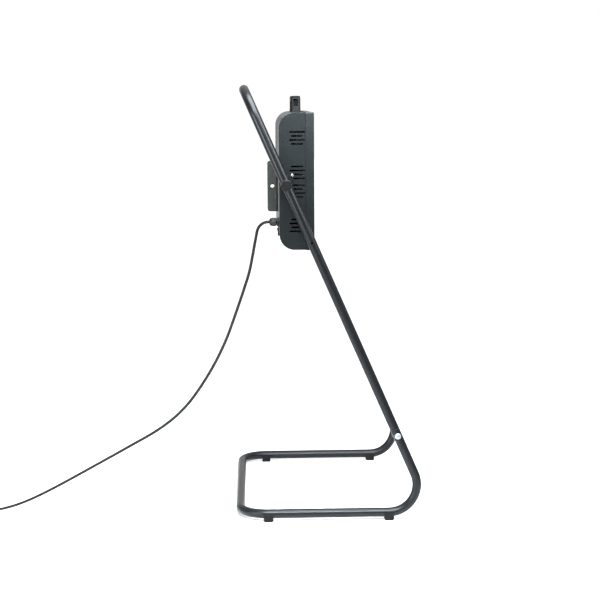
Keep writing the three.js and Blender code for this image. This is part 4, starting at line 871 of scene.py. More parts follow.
# %% Cutting
def cut_away(shapes, tools, operation="DIFFERENCE"):
    """Cuts the tools out of a shape, or keeps what both share, with exact booleans."""
    target = bpy.data.objects.new("blank", mesh_of("blank", together(shapes)))
    bpy.context.scene.collection.objects.link(target)
    cutters = []
    for tool in tools:
        cutter = bpy.data.objects.new("tool", mesh_of("tool", tool))
        bpy.context.scene.collection.objects.link(cutter)
        step = target.modifiers.new("cut", "BOOLEAN")
        step.object = cutter
        step.operation = operation
        step.solver = "EXACT"
        cutters.append(cutter)
    shown = target.evaluated_get(bpy.context.evaluated_depsgraph_get())
    result = read_back(shown.to_mesh())
    shown.to_mesh_clear()
    for thing in cutters + [target]:
        data = thing.data
        bpy.data.objects.remove(thing)
        bpy.data.meshes.remove(data)
    return result


drilled = cut_away([coin], [turned(disc(4, -1, 3, 0.01), (0, 0, 0), "z", 24)])
print(f"the disc with a drilled hole has {len(drilled[1])} faces")

# %% [markdown]
# The arch's ends are swaged: drawn down over 45 mm so that they slide into the base
# tube. Holes go through both legs for the joint bolts and the pivots, and one spare hole
# lower down lets the head hang deeper. Drills are bars along X, cut out with booleans.

# %% Base frame and upper frame
joint_bolt_height = 200.7
joint_hole = 3.3
pivot_hole = 4.3
spare_hole = 3.25
spare_hole_height = 651.2
chamfer = 0.4
rim_radius = tube_radius - chamfer
swage = 45
swage_radius = tube_bore - play
swage_bore = 7.7
plain_ends = [(0, rim_radius, tube_bore), (chamfer, tube_radius, tube_bore)]
swage_ends = [
    (0, swage_radius - 1.2, swage_bore), (1.2, swage_radius, swage_bore),
    (swage, swage_radius, swage_bore), (swage + play, rim_radius, swage_bore),
    (swage + play + chamfer, tube_radius, swage_bore), (swage + 3, tube_radius, tube_bore)]


def leg_drill(height, radius):
    """A bar along X through both legs."""
    centre = on_leg(0, height)
    reach = [half_stand + tube_radius + 5, 0, 0]
    return tube([centre - reach, centre + reach], radius, 32, 0.1)


longer = upper_line.copy()
longer[[0, -1]] -= leg_heading * swage
base_cut = cut_away([pipe(base_line, plain_ends)], [leg_drill(joint_bolt_height, joint_hole)])
upper_cut = cut_away([pipe(longer, swage_ends)], [
    leg_drill(joint_bolt_height, joint_hole), leg_drill(pivot[2], pivot_hole),
    leg_drill(spare_hole_height, spare_hole)])
put_in("base frame", [base_cut], tube_paint, "tube_paint", "stand")
put_in("upper frame", [upper_cut], tube_paint, "tube_paint", "stand")

# %% [markdown]
# ## Feet
# Four rubber saddles grip the rails from below, so that paint never touches the floor.
# A saddle's cross section is a U round the tube, and it runs 22 mm along the rail while
# its bottom edge lifts and its lips drop towards both ends. That makes it a function of
# two parameters: the place on the U, and the place along the rail.

# %% Shape of a foot
foot_half = 14
foot_sole = 11
foot_waist = 8
foot_bevel = 3
foot_reach = 11
foot_grip = 2.5
foot_bore = tube_radius + play


def foot_section():
    """The U: a sole with bevels, lips that pass the tube's middle, and the hollow."""
    bottom = softened([
        (-foot_half, foot_waist), (-foot_half, foot_bevel), (-foot_sole, 0), (foot_sole, 0),
        (foot_half, foot_bevel), (foot_half, foot_waist)], 1.6)
    dip = np.arcsin(foot_grip / foot_bore)
    turn = np.linspace(dip, -np.pi - dip, 33)
    hollow = columns(foot_bore * np.cos(turn), rail_height + foot_bore * np.sin(turn))
    top = rail_height + foot_grip
    lip = softened([(foot_half, foot_waist), (foot_half, top), (hollow[0, 0], top),
                    hollow[0]], 0.8)
    other_lip = lip[::-1] * [-1, 1]
    return np.concatenate([bottom, lip[1:], hollow[1:-1], other_lip[:-1]])


def foot(x, y):
    """Along t from -1 to 1 the U keeps its shape up to 0.7, then e = ((|t| - 0.7) / 0.3)^2.

    The bottom lifts by 3 e and the lips drop by 2.5 e, in millimetres."""
    across, height = foot_section().T
    t = np.array([-1, -0.96, -0.9, -0.8, -0.7, 0.7, 0.8, 0.9, 0.96, 1])[:, None]
    end = np.clip((np.abs(t) - 0.7) / 0.3, 0, 1) ** 2
    low_part = np.clip((foot_waist - height) / foot_waist, 0, 1)
    high_part = np.clip((height - rail_height) / foot_grip, 0, 1)
    z = height + end * (foot_bevel * low_part - foot_grip * high_part)
    return skin(columns(x + across, y + foot_reach * t, z))


print(f"a foot's section has {len(foot_section())} points")

# %% [markdown]
# Left and right pieces are the same shape at -X and at +X. One list names both sides, and
# outward gives the axis that points away from the heater, for pieces that face that way.

# %% Rubber feet
both_sides = (("left", -1), ("right", 1))


def outward(sign):
    """The axis along X that points away from the middle on the side of this sign."""
    return "x" if sign > 0 else "-x"


for end, y in (("front", -rail_end), ("rear", rail_end)):
    for side, sign in both_sides:
        put_in(f"foot {end} {side}", [foot(sign * half_stand, y)], foot_rubber,
               "foot_rubber", "stand", edge=0.4)

# %% [markdown]
# ## Joint bolts
# A button head bolt locks each plugged joint. Its head is a low dome with a hexagon
# socket. The dome is turned, and inside the socket the round section becomes a hexagon:
# the radius towards a flat is the corner radius * cos 30 / cos(a - 30), a from a corner.

# %% Hexagons
def hexagon(angle, radius, along):
    """Radius of a hexagon whose corners touch the circle of the given radius."""
    return radius * np.cos(np.pi / 6) / np.cos(angle % (np.pi / 3) - np.pi / 6)


def socket(angle, radius, along):
    """Hexagon in the rings of the tool socket only, which are the ones under 3.6 mm."""
    return np.where((radius < 3.6) & (along > 1), hexagon(angle, radius, along), radius)


corner, flat = hexagon(np.radians([0, 30]), 5.77, 0)
print(f"a nut of {2 * corner:.2f} mm over its corners is {2 * flat:.2f} mm wide")

# %% [markdown]
# The bolt is drawn from its tip to its crown: a shank with a small chamfer, the flat
# under the head, the dome as an arc of an ellipse, and the socket that goes back in.

# %% Joint bolts
bolt_radius = 3
bolt_length = 27.6
head_radius = 7.25
rim_height = 1.1
crown_height = 3.56
crown_turn = np.linspace(0, 0.95, 9)
bolt_profile = np.concatenate([
    [(0, -bolt_length), (bolt_radius - play, -bolt_length), (bolt_radius, play - bolt_length),
     (bolt_radius, 0), (head_radius, 0)],
    columns(head_radius * np.cos(crown_turn), rim_height + crown_height * np.sin(crown_turn)),
    [(3.55, 4), (3.3, 3.7), (3.3, 1.6), (0, 1.4)]])
print(f"bolt head {2 * head_radius} mm wide and {bolt_profile[:, 1].max():.1f} mm high")

# %% [markdown]
# The nut inside the leg is a cap nut: a hexagon whose corners are turned off by a cone,
# with a dome over the bolt's end so that nothing can catch on the thread. Both pieces
# seat on the tube with a play of 0.3 mm, the bolt from outside and the nut from inside.

# %% Joint nuts
nut_corner = 5.77
nut_height = 5
nut_face_radius = 5.1
chamfer_slope = 1.2
nut_bore = 3.3
cap_radius = 4.7
cap_height = 4
cap_turn = np.linspace(0, np.pi / 2, 10)
cap = columns(cap_radius * np.cos(cap_turn), nut_height + cap_height * np.sin(cap_turn))
nut_rows = np.linspace(0, nut_height, 13)
nut_profile = np.concatenate([[(0, 3), (nut_bore, 3), (nut_bore, 0)],
                              columns(nut_corner, nut_rows), cap])


def nut_flats(angle, radius, along):
    """Hexagon under the dome, its corners turned off by a cone: min(hexagon, cone)."""
    flats = hexagon(angle, nut_corner, along)
    cone = nut_face_radius + chamfer_slope * np.minimum(along, nut_height - along)
    under_cap = (along <= nut_height) & (radius > cap_radius + 0.1)
    return np.where(under_cap, np.minimum(flats, cone), radius)


tube_face = tube_radius + play
for side, sign in both_sides:
    outside = on_leg(sign * (half_stand + tube_face), joint_bolt_height)
    inside = on_leg(sign * (half_stand - tube_face), joint_bolt_height)
    put_in(f"joint bolt {side}", [turned(bolt_profile, outside, outward(sign), 72, socket)],
           zinc_plate, "zinc_steel", "stand")
    put_in(f"joint nut {side}", [turned(nut_profile, inside, outward(-sign), 72, nut_flats)],
           zinc_plate, "zinc_steel", "stand")

# %% [markdown]
# ## Pivot
# On each side a lug plate on the casing, two saddle washers round the leg and a clamp
# knob sit on one bolt. The washers are moulded discs with the tube's shape taken out of
# one face, so the clamp force doesn't dent the tube: a disc minus a tube is the whole
# recipe. The outer washer and the inner one stay with the leg when the head tilts.

# %% Saddle washers
saddle_radius = 12
saddle_hole = 4.6
saddle_spans = {"inner": (259.6, 274), "outer": (286, 294)}
tool_reach = 40
bolt_tool_span = (250, 300)
leg_middle = pivot + [half_stand, 0, 0]
leg_tool = tube([leg_middle - leg_heading * tool_reach, leg_middle + leg_heading * tool_reach],
                tube_face, 64)
bolt_tool = turned(disc(saddle_hole, *bolt_tool_span, 0.1), pivot, "x", 40)


def on_side(shape, sign):
    """A skin made for the right side, moved to the side of this sign: x times sign."""
    points, faces, maps = shape
    return points * [sign, 1, 1], faces, maps


saddles = {
    kind: cut_away([turned(disc(saddle_radius, *span, 0.8), pivot, "x", 72)],
                   [leg_tool, bolt_tool])
    for kind, span in saddle_spans.items()}
for side, sign in both_sides:
    for kind, saddle in saddles.items():
        put_in(f"{kind} saddle {side}", [on_side(saddle, sign)], black_nylon,
               "black_plastic", "stand")

# %% [markdown]
# ## Knobs
# A clamp knob has six soft lobes for the fingers: radius = mean + 0.8 w cos 6a, where
# the weight w fades to 0 on the hub and the cap. A ring groove marks the cap, as on a
# real moulding where the metal insert is pressed in behind it.

# %% Clamp knobs
knob_face = 294.3
knob_radius = 12.7
hub_radius = 8.5
hub = 5
knob_top = hub + 16
insert_bore = 4.3
insert_depth = 14
lobe_count = 6
lobe_depth = 0.8
lobe_start = 10.5
lobe_blend = 1.8
knob_profile = np.concatenate([
    [(0, insert_depth), (insert_bore, insert_depth), (insert_bore, 0), (8, 0),
     (hub_radius, 0.5), (hub_radius, hub - 0.6), (8.9, hub), (11, hub)],
    softened([(11, hub), (knob_radius, hub), (knob_radius, knob_top), (10, knob_top)],
             1.8, 6)[1:],
    [(9.6, knob_top), (9.4, knob_top - 0.5), (8.8, knob_top - 0.5), (8.6, knob_top),
     (0, knob_top)]])


def lobes(angle, radius, along):
    """The six lobes, at full depth on the rim and none inside a radius of 10.5."""
    weight = np.clip((radius - lobe_start) / lobe_blend, 0, 1)
    return radius + lobe_depth * weight * np.cos(lobe_count * angle)


for side, sign in both_sides:
    place = pivot + [sign * knob_face, 0, 0]
    put_in(f"knob {side}", [turned(knob_profile, place, outward(sign), 120, lobes)],
           black_nylon, "black_plastic", f"knob_{side}", edge_angle=50)

# %% [markdown]
# ## Casing
# The head is a shallow box of folded sheet steel: one sheet runs round the top, back and
# bottom, a plate closes each side, and a tray with a window forms the front. Places on
# the head are measured from its pivot: y backwards, z upwards and x to the right.

# %% Sizes of the casing
case_half = 256
case_back = 15.6
case_front = -63.4
case_bottom = -149.6
case_top = 161.4
case_middle = (case_top + case_bottom) / 2
sheet = 1.2
rear_corner = 35
seam = -45.4
shell_front = seam + play
print(f"casing {2 * case_half} x {case_back - case_front:.0f} x {case_top - case_bottom:.0f} mm")

# %% [markdown]
# A folded sheet is a line with round bends and a second line one sheet thickness beside
# it, so one helper makes every folded section here. The point beside p is
# p + thickness * n, with n square to the line. A section becomes a piece when it is
# pushed along an axis, which makes a prism.

# %% Folded sheet
def arc(centre, radius, start, end, steps=14):
    """Points centre + radius * (cos a, sin a) between two angles in degrees."""
    angle = np.radians(np.linspace(start, end, steps + 1))
    return np.array(centre) + radius * columns(np.cos(angle), np.sin(angle))


def folded(line, thickness, left=True):
    """A closed section: the line, and back along p + thickness * n beside it."""
    line = np.array(line, float)
    slope = unit(np.gradient(line, axis=0))
    n = columns(-slope[:, 1], slope[:, 0]) * (1 if left else -1)
    return np.concatenate([line, (line + n * thickness)[::-1]])


def prism(outline, low, high, axis="x", centre=pivot):
    """An outline pushed along an axis between two places; flat faces close the ends.

    For x the outline is (y, z), for y it is (x, z) and for z it is (x, y)."""
    number = "xyz".index(axis)
    others = [i for i in range(3) if i != number]
    outline = np.array(outline, float)
    grid = np.empty((2, len(outline), 3))
    grid[..., others[0]] = outline[:, 0]
    grid[..., others[1]] = outline[:, 1]
    grid[0, :, number] = low
    grid[1, :, number] = high
    return skin(grid + centre)


def casing_line(inset, front_edge):
    """Round the bottom, back and top of the casing, drawn inside by an inset (y, z)."""
    radius = rear_corner - inset
    low, high = case_bottom + inset, case_top - inset
    rear = case_back - rear_corner
    return np.concatenate([
        [(front_edge, low)], arc((rear, case_bottom + rear_corner), radius, -90, 0),
        arc((rear, case_top - rear_corner), radius, 0, 90), [(front_edge, high)]])


print(f"the casing's line is {distances(casing_line(0, shell_front))[-1]:.0f} mm of sheet")

# %% [markdown]
# ## Rear shell
# The shell is one sheet with big round corners behind. In front it turns in by 22 mm at
# top and bottom, which stiffens the edge and carries the front. Its section is pushed
# along X, and then the holes for the gland, the switch and the bracket are punched.

# %% Rear shell
shell_half = 254.5
lip = 22
fold = 1.6
gland_z = -91.3
gland_hole = 8.3
switch_z = -113.2
switch_hole_half = (6.8, 10)
bracket_drop = 24.2
bracket_middle = case_middle - bracket_drop
bracket_screw_offset = 40
bracket_screws = (bracket_middle - bracket_screw_offset, bracket_middle + bracket_screw_offset)
screw_hole = 2.3
through_back = (10, 20)
lip_line = np.concatenate([
    [(shell_front, case_bottom + lip)],
    arc((shell_front + fold, case_bottom + fold), fold, 180, 270, 5),
    casing_line(0, shell_front + fold)[1:-1],
    arc((shell_front + fold, case_top - fold), fold, 90, 180, 5),
    [(shell_front, case_top - lip)]])


def hole_y(x, z, radius, low, high):
    """A drill along Y through the back or the front."""
    return turned(disc(radius, low, high, 0.01), pivot + [x, 0, z], "y", 40)


square = np.array([(-1, -1), (1, -1), (1, 1), (-1, 1)])
switch_hole = prism((gland_across, switch_z) + square * switch_hole_half, *through_back, "y")
shell_drills = [hole_y(gland_across, gland_z, gland_hole, *through_back), switch_hole]
shell_drills += [hole_y(0, z, screw_hole, *through_back) for z in bracket_screws]
bent_shell = prism(folded(lip_line, sheet), -shell_half, shell_half)
put_in("rear shell", [cut_away([bent_shell], shell_drills)], casing_paint, "casing_paint",
       "head", edge=0.25, edge_angle=50)

# %% [markdown]
# ## Side panels
# Each side plate has four groups of vent slots, long and short in turn, the pivot holes
# and a rim that slides inside the shell. A plate with holes isn't a plain grid, so it is
# a flat curve: the outline and the holes are closed splines in one curve, Blender fills
# between them, and extruding gives the thickness. It becomes a mesh before it is placed.

# %% Plates with holes
def plate(outline, holes, low, high, axis="x", centre=pivot):
    """A flat filled curve with holes, pushed along an axis between two places."""
    flat = bpy.data.curves.new("plate", "CURVE")
    flat.dimensions = "2D"
    flat.fill_mode = "BOTH"
    flat.extrude = abs(high - low) / 2
    for loop in [outline] + list(holes):
        spline = flat.splines.new("POLY")
        spline.points.add(len(loop) - 1)
        places = np.concatenate([loop, np.zeros((len(loop), 1)), np.ones((len(loop), 1))], axis=1)
        spline.points.foreach_set("co", places.astype(np.float32).ravel())
        spline.use_cyclic_u = True
    holder = bpy.data.objects.new("plate", flat)
    bpy.context.scene.collection.objects.link(holder)
    mesh = bpy.data.meshes.new_from_object(
        holder.evaluated_get(bpy.context.evaluated_depsgraph_get()))
    points, faces, maps = read_back(mesh)
    bpy.data.objects.remove(holder)
    bpy.data.curves.remove(flat)
    bpy.data.meshes.remove(mesh)
    number = "xyz".index(axis)
    others = [i for i in range(3) if i != number]
    placed = np.empty_like(points)
    placed[:, others[0]] = points[:, 0] * MM
    placed[:, others[1]] = points[:, 1] * MM
    placed[:, number] = points[:, 2] * MM + (low + high) / 2
    return placed + centre, faces, maps


washer = plate(10 * square, [5 * square], 0, 1)
print(f"a square plate with a square hole, filled by Blender, has {len(washer[1])} faces")

# %% [markdown]
# Every outline here is made of straight runs and quarter or half circles, as a punch or
# a laser cuts them: point = centre + radius * (cos a, sin a) on each arc.

# %% Outlines
def circle(u, v, radius, count=40):
    """A round hole, drawn as a loop of points."""
    return arc((u, v), radius, 0, 360, count)[:-1]


def stadium(u, v, length, height, steps=8):
    """A slot: two half circles joined by straight sides."""
    reach, radius = (length - height) / 2, height / 2
    return np.concatenate([arc((u + reach, v), radius, -90, 90, steps),
                           arc((u - reach, v), radius, 90, 270, steps)])


def round_box(left, low, right, high, radius, steps=8):
    """A rectangle with round corners."""
    return np.concatenate([
        arc((right - radius, low + radius), radius, -90, 0, steps),
        arc((right - radius, high - radius), radius, 0, 90, steps),
        arc((left + radius, high - radius), radius, 90, 180, steps),
        arc((left + radius, low + radius), radius, 180, 270, steps)])


sample_slot = stadium(0, 0, 36, 4)
closed_slot = np.append(sample_slot, sample_slot[:1], axis=0)
print(f"the line round a slot of 36 mm is {distances(closed_slot)[-1]:.0f} mm long")

# %% [markdown]
# The slots are punched in four groups of four, 9 mm apart, where warm air leaves. Long
# and short slots take turns, and the next group starts with the other length.

# %% Vent slots
slot_shift = 1.75
slot_y = (case_front + case_back) / 2 - slot_shift
slot_lengths = (36, 28)
slot_height = 4
slot_pitch = 9
slot_groups = (99.2, 21.2, -21.2, -99.2)
slots = [stadium(slot_y, case_middle + offset + (1.5 - row) * slot_pitch,
                 slot_lengths[(row + group) % 2], slot_height)
         for group, offset in enumerate(slot_groups) for row in range(4)]
print(f"{len(slots)} slots in each side panel")

# %% [markdown]
# The plate and its rim are one bent sheet on the real panel. Here the rim is a folded
# section that starts inside the plate, so the two read as one piece.

# %% Side panels
lug_ear = (-13.6, 21.1)
lug_rear = (8, 24)
rim_depth = 10
drill_reach = 260
panel_holes = ((0, 0, pivot_hole), (*lug_ear, screw_hole), (*lug_rear, screw_hole))
panel_drills = [turned(disc(radius, -drill_reach, drill_reach, 0.01), pivot + [0, y, z], "x", 32)
                for y, z, radius in panel_holes]
panel_line = casing_line(0, shell_front)
rim_section = folded(casing_line(sheet + play, shell_front + sheet + play), sheet)
for side, sign in both_sides:
    face_plate = plate(panel_line, slots, sign * (case_half - sheet), sign * case_half)
    rim = prism(rim_section, sign * (case_half - sheet - rim_depth),
                sign * (case_half - sheet / 2))
    put_in(f"side panel {side}", [cut_away([face_plate], panel_drills), rim], casing_paint,
           "casing_paint", "head", edge=0.45, edge_angle=50, flats=True)

# %% [markdown]
# ## Front frame
# The front is a tray: a flat border of 28 mm round the window, folded back 18 mm along
# its outside to meet the shell. It is one section carried round a rounded rectangle.
# The section's first number is how far inside the outer edge a point lies and the second
# how deep. Each corner arc shrinks or grows with the inset, from 3 mm outside to 8 mm
# at the window.

# %% Front frame
def round_frame(section, half_width, half_height, outer_corner, corner_gain, place):
    """Point: corner centre + r (cos a, sin a), with r = outer corner + gain * inset."""
    inset, depth = section[:, 0], section[:, 1]
    quarter = np.radians(np.linspace(0, 90, 9))
    angle = np.concatenate([quarter, quarter + np.pi / 2, quarter + np.pi,
                            quarter + 1.5 * np.pi])[:, None]
    across = np.repeat([1, -1, -1, 1], 9)[:, None]
    upward = np.repeat([1, 1, -1, -1], 9)[:, None]
    radius = outer_corner + corner_gain * inset
    x = across * (half_width - inset - radius) + radius * np.cos(angle)
    z = upward * (half_height - inset - radius) + radius * np.sin(angle)
    return skin(columns(x, depth, z) + place, along=True)


border = 28
outer_corner = 3
window_corner = 8
half_height = (case_top - case_bottom) / 2
border_line = softened([(border, 0), (0, 0), (0, seam - case_front)], 1.8, 6)
tray = round_frame(folded(border_line, sheet), case_half, half_height, outer_corner,
                   (window_corner - outer_corner) / border,
                   pivot + [0, case_front, case_middle])
put_in("front frame", [tray], casing_paint, "casing_paint", "head", edge=0.25)
print(f"window {2 * (case_half - border)} x {2 * (half_height - border):.0f} mm")

# %% [markdown]
# ## Screws
# Pan head screws hold the frame, the lugs and the bracket. The head is turned, and a
# cross recess is pressed into its crown. The recess lowers the crown by up to 1.2 mm
# where |u| or |v| is under half the blade's width, and fades towards the blade's ends.

# %% Pan head screws
def pan_head(radius, height, shank, length, place, axis):
    """A turned head with the cross recess worked into its height, on a plain shank.

    Crown: height (0.45 + 0.55 sqrt(1 - (r / radius)^2)). Recess: 0.5 height deep where a
    blade of 0.16 radius to each side crosses, up to 0.62 radius out, less at its edges."""
    dome = np.linspace(0, 1, 22)
    crown_radius = radius * np.sin(dome[::-1] * np.pi / 2) ** 0.8
    crown = height * (0.45 + 0.55 * np.sqrt(np.clip(1 - (crown_radius / radius) ** 2, 0, 1)))
    profile = np.concatenate([
        [(0, -length), (shank - 0.5, -length), (shank, -length + 0.6), (shank, 0), (radius, 0)],
        columns(crown_radius, crown)])
    points, faces, maps = turned(profile, (0, 0, 0), "z", 64)
    u, v = np.abs(points[:, 0]) / radius, np.abs(points[:, 1]) / radius
    blade = np.maximum(np.clip((0.16 - u) / 0.05, 0, 1) * np.clip((0.62 - v) / 0.12, 0, 1),
                       np.clip((0.16 - v) / 0.05, 0, 1) * np.clip((0.62 - u) / 0.12, 0, 1))
    points[:, 2] = points[:, 2] - blade * 0.5 * height * (points[:, 2] > height * 0.46)
    number = "xyz".index(axis[-1])
    sign = -1 if axis[0] == "-" else 1
    order = {0: [2, 0, 1], 1: [0, 2, 1], 2: [0, 1, 2]}[number]
    placed = points[:, order].copy()
    placed[:, number] = placed[:, number] * sign
    return placed + np.array(place, float), faces, maps


# Each screw lists its head's radius, its head's height, its shank's radius and its length.
frame_screw = (3.75, 2.4, 2, 25)
lug_screw = (3.3, 2.2, 2, 9)
bracket_screw = (4, 2.4, 2, 8)
screw_inset = 12
for row, z in (("lower", case_bottom + screw_inset), ("upper", case_top - screw_inset)):
    for side, sign in both_sides:
        place = pivot + [sign * (case_half - screw_inset), case_front - play, z]
        put_in(f"frame screw {row} {side}", [pan_head(*frame_screw, place, "-y")],
               zinc_plate, "zinc_steel", "head")

# %% [markdown]
# ## Lug plates
# The lug spreads the pivot's load over the thin panel. Its outline is a tight band round
# three circles, at the bolt, at the front screw and at the pressed pip behind.

# %% Lugs
lug_inside = case_half + play
lug_outside = lug_inside + 3
pip_radius = 2
pip_height = 1.5
lug_line = band_round([(0, 0, 9), (*lug_ear, 6), (*lug_rear, 6.5)], 0, 144)
lug_holes = [circle(0, 0, pivot_hole), circle(*lug_ear, screw_hole)]
for side, sign in both_sides:
    lug = plate(lug_line, lug_holes, sign * lug_inside, sign * lug_outside)
    pip = turned(disc(pip_radius, case_half - sheet, lug_inside + pip_height, 0.2),
                 pivot + [0, *lug_rear], outward(sign), 24)
    put_in(f"pivot lug {side}", [lug, pip], casing_paint, "casing_paint", "head",
           edge=0.5, edge_angle=50, flats=True)
    place = pivot + [sign * (lug_outside + play), *lug_ear]
    put_in(f"lug screw {side}", [pan_head(*lug_screw, place, outward(sign))],
           zinc_plate, "zinc_steel", "head")

# %% [markdown]
# ## Wire guard
# Fine wires stop fingers and cloth from reaching the rods. They are spot welded to a
# bent frame wire and two uprights behind them. Every wire is the same tube in another
# place, so a dozen faces round each are enough.

# %% Wire guard
guard_half_width = 234
guard_half_height = 133.5
guard_bar_y = -57.8
guard_bar_radius = 2
guard_wire_y = -60.65
guard_wire_radius = 1.25
guard_wires = 16
wire_pitch = 16.5
uprights = (-78, 78)
guard_middle = pivot + [0, 0, case_middle]
frame_loop = round_box(-guard_half_width, -guard_half_height, guard_half_width,
                       guard_half_height, 9)
frame_path = columns(frame_loop[:, 0], guard_bar_y, frame_loop[:, 1]) + guard_middle


def closed_tube(path, radius, sides=16):
    """A tube that meets itself: round section in the plane of the loop and across it."""
    tangent = unit(np.roll(path, -1, axis=0) - np.roll(path, 1, axis=0))
    side = np.tile([0.0, 1.0, 0.0], (len(path), 1))
    return skin(rings(path, radius, sides, (side, np.cross(tangent, side))), along=True)


ends = np.array([-1, 1])
bars = [tube(columns(x, guard_bar_y, ends * guard_half_height) + guard_middle,
             guard_bar_radius, 16) for x in uprights]
wire_heights = (np.arange(guard_wires) - (guard_wires - 1) / 2) * wire_pitch
wires = [tube(columns(ends * guard_half_width, guard_wire_y, z) + guard_middle,
              guard_wire_radius, 12) for z in wire_heights]
put_in("wire guard", [closed_tube(frame_path, guard_bar_radius), *bars, *wires], drawn_wire,
       "guard_wire", "head")

# %% [markdown]
# ## Reflector
# Three troughs throw the heat forward. Each one is a parabola: depth = 22 (1 - s^2), with
# s from -1 to 1 across the trough, so that heat from near its focus leaves forwards. The
# sheet runs flat above and below the troughs, and a wall closes each end.

# %% Reflector
flange_y = -55.5
cusp_y = -47.2
trough_depth = 22
trough_half = 248 / 6
reflector_half = 220
reflector_sheet = 1
sheet_reach = 154
flat_start = 133
wall_reach = 124
flange_width = 14
rod_y = -42
rod_spacing = 36
rod_entry = 7.2
trough_middles = case_middle + np.array([-2, 0, 2]) * trough_half
rod_heights = (trough_middles[:, None] + [-rod_spacing / 2, rod_spacing / 2]).ravel()

s = np.linspace(-1, 1, 33)
troughs = np.concatenate([
    columns(cusp_y + trough_depth * (1 - s ** 2), middle + s * trough_half)[:-1]
    for middle in trough_middles] + [[(cusp_y, case_middle + 3 * trough_half)]])
front_face = np.concatenate([
    [(flange_y, case_middle - sheet_reach), (flange_y, case_middle - flat_start)], troughs,
    [(flange_y, case_middle + flat_start), (flange_y, case_middle + sheet_reach)]])
reflector_section = np.concatenate([front_face, (front_face + [reflector_sheet, 0])[::-1]])
end_wall = round_box(flange_y, case_middle - wall_reach,
                     cusp_y + trough_depth + reflector_sheet, case_middle + wall_reach, 1)
rod_entries = [circle(rod_y, z, rod_entry, 32) for z in rod_heights]
wall_inside = reflector_half - reflector_sheet
end_flange = np.array([(0, 0), (flange_width, 0), (flange_width, reflector_sheet),
                       (0, reflector_sheet)]) + [wall_inside, flange_y]
flanges = [prism(end_flange * [sign, 1], case_middle - sheet_reach, case_middle + sheet_reach,
                 "z") for side, sign in both_sides]
reflector = put_in("reflector", [
    prism(reflector_section, -reflector_half, reflector_half),
    plate(end_wall, rod_entries, -reflector_half, -wall_inside),
    plate(end_wall, [], wall_inside, reflector_half), *flanges,
], bright_sheet, "reflector_sheet", "head", edge_angle=40)
print(f"a trough is {2 * trough_half:.1f} mm wide and {trough_depth} mm deep")

# %% [markdown]
# The bright film is rolled on one side of the sheet only, and heat dulls the other side.
# So one piece has two finishes. Faces that look backwards, or outwards past the end walls,
# get the near black one: painted shade, which keeps light out of the slots.

# %% Rear side of the sheet
normals = np.empty((len(reflector.data.polygons), 3), np.float32)
centres = np.empty_like(normals)
reflector.data.polygons.foreach_get("normal", normals.ravel())
reflector.data.polygons.foreach_get("center", centres.ravel())
painted_shade_faces = (normals[:, 1] > 0.05) | (normals[:, 0] * np.sign(centres[:, 0]) > 0.5)
reflector.data.materials.append(mill_sheet_dark_as_shade)
reflector.data.polygons.foreach_set("material_index", painted_shade_faces.astype(np.int32))
print(f"{painted_shade_faces.sum()} of {len(painted_shade_faces)} reflector faces are rear faces")

# %% [markdown]
# ## Heating rods
# Each trough holds one rod bent to a hairpin: a nickel alloy sheath with a coil and
# mineral powder inside. The bend is free at one end, so the rod can grow as it heats, and
# both tails leave through a ceramic block at the other end, with a steel stud on each.

# %% Rods
rod_radius = 4.25
rod_tail = -243.3
rod_bend = 208
stud_radius = 2
stud_span = np.array([-252.3, -241])
for name, middle in zip(("lower", "middle", "upper"), trough_middles):
    heights = middle + ends * rod_spacing / 2
    corners = columns([rod_tail, rod_bend, rod_bend, rod_tail], rod_y, np.repeat(heights, 2))
    hairpin = bent(corners + pivot, rod_spacing / 2, 24)
    studs = [tube(columns(stud_span, rod_y, z) + pivot, stud_radius, 16) for z in heights]
    put_in(f"heating rod {name}", [tube(hairpin, rod_radius, 24)] + studs, heated_rod,
           "rod_sheath", "head")

# %% [markdown]
# ## Ceramic block
# The rods' tails are live inside and hot outside, so they leave the reflector through
# fired clay. One block with six collars holds all six tails. It is a plate with holes,
# and each collar is a short turned sleeve that reaches through the reflector's end wall.

# %% Ceramic block
rod_hole = rod_radius + play
block_half = 9.95
block_face = -reflector_half - play
block_thickness = 7
collar_radius = 6.9
collar_length = 3.8
rod_holes = [circle(rod_y, z, rod_hole) for z in rod_heights]
block_line = round_box(rod_y - block_half, rod_heights[0] - block_half,
                       rod_y + block_half, rod_heights[-1] + block_half, 5)
block = plate(block_line, rod_holes, block_face - block_thickness, block_face)
collar_profile = [
    (rod_hole, 4), (rod_hole, -0.5), (collar_radius, -0.5), (collar_radius, 3.4),
    (collar_radius - 0.4, collar_length), (rod_hole, collar_length)]
collars = [turned(collar_profile, pivot + [block_face, rod_y, z], "x", 32)
           for z in rod_heights]
# The block's near black clay is painted shade, which keeps the slots dark.
put_in("rod insulator", [block] + collars, clay_dark_as_shade, "ceramic", "head", edge=0.4,
       edge_angle=50, flats=True)

# %% [markdown]
# ## Rod comb
# Near their free bends the rods only rest in a comb: a sheet cut to the troughs' shape
# with a hole for each rod, so that a hot rod can slide as it grows.

# %% Rod comb
comb_span = (150, 151)
comb_front = cusp_y - 3.1
clear = troughs - [play, 0]
comb_line = np.concatenate([[(comb_front, clear[0, 1])], clear, [(comb_front, clear[-1, 1])]])
put_in("rod support", [plate(comb_line, rod_holes, *comb_span)], dull_sheet, "guard_wire",
       "head")

# %% [markdown]
# ## Rear bracket
# The bracket is a folded channel with a cross hole, for hooking or pinning the head. Two
# prisms meet in it: the U seen from above, and the outline seen from the side with its
# round corners. What both share is the bracket, and then the holes are drilled.

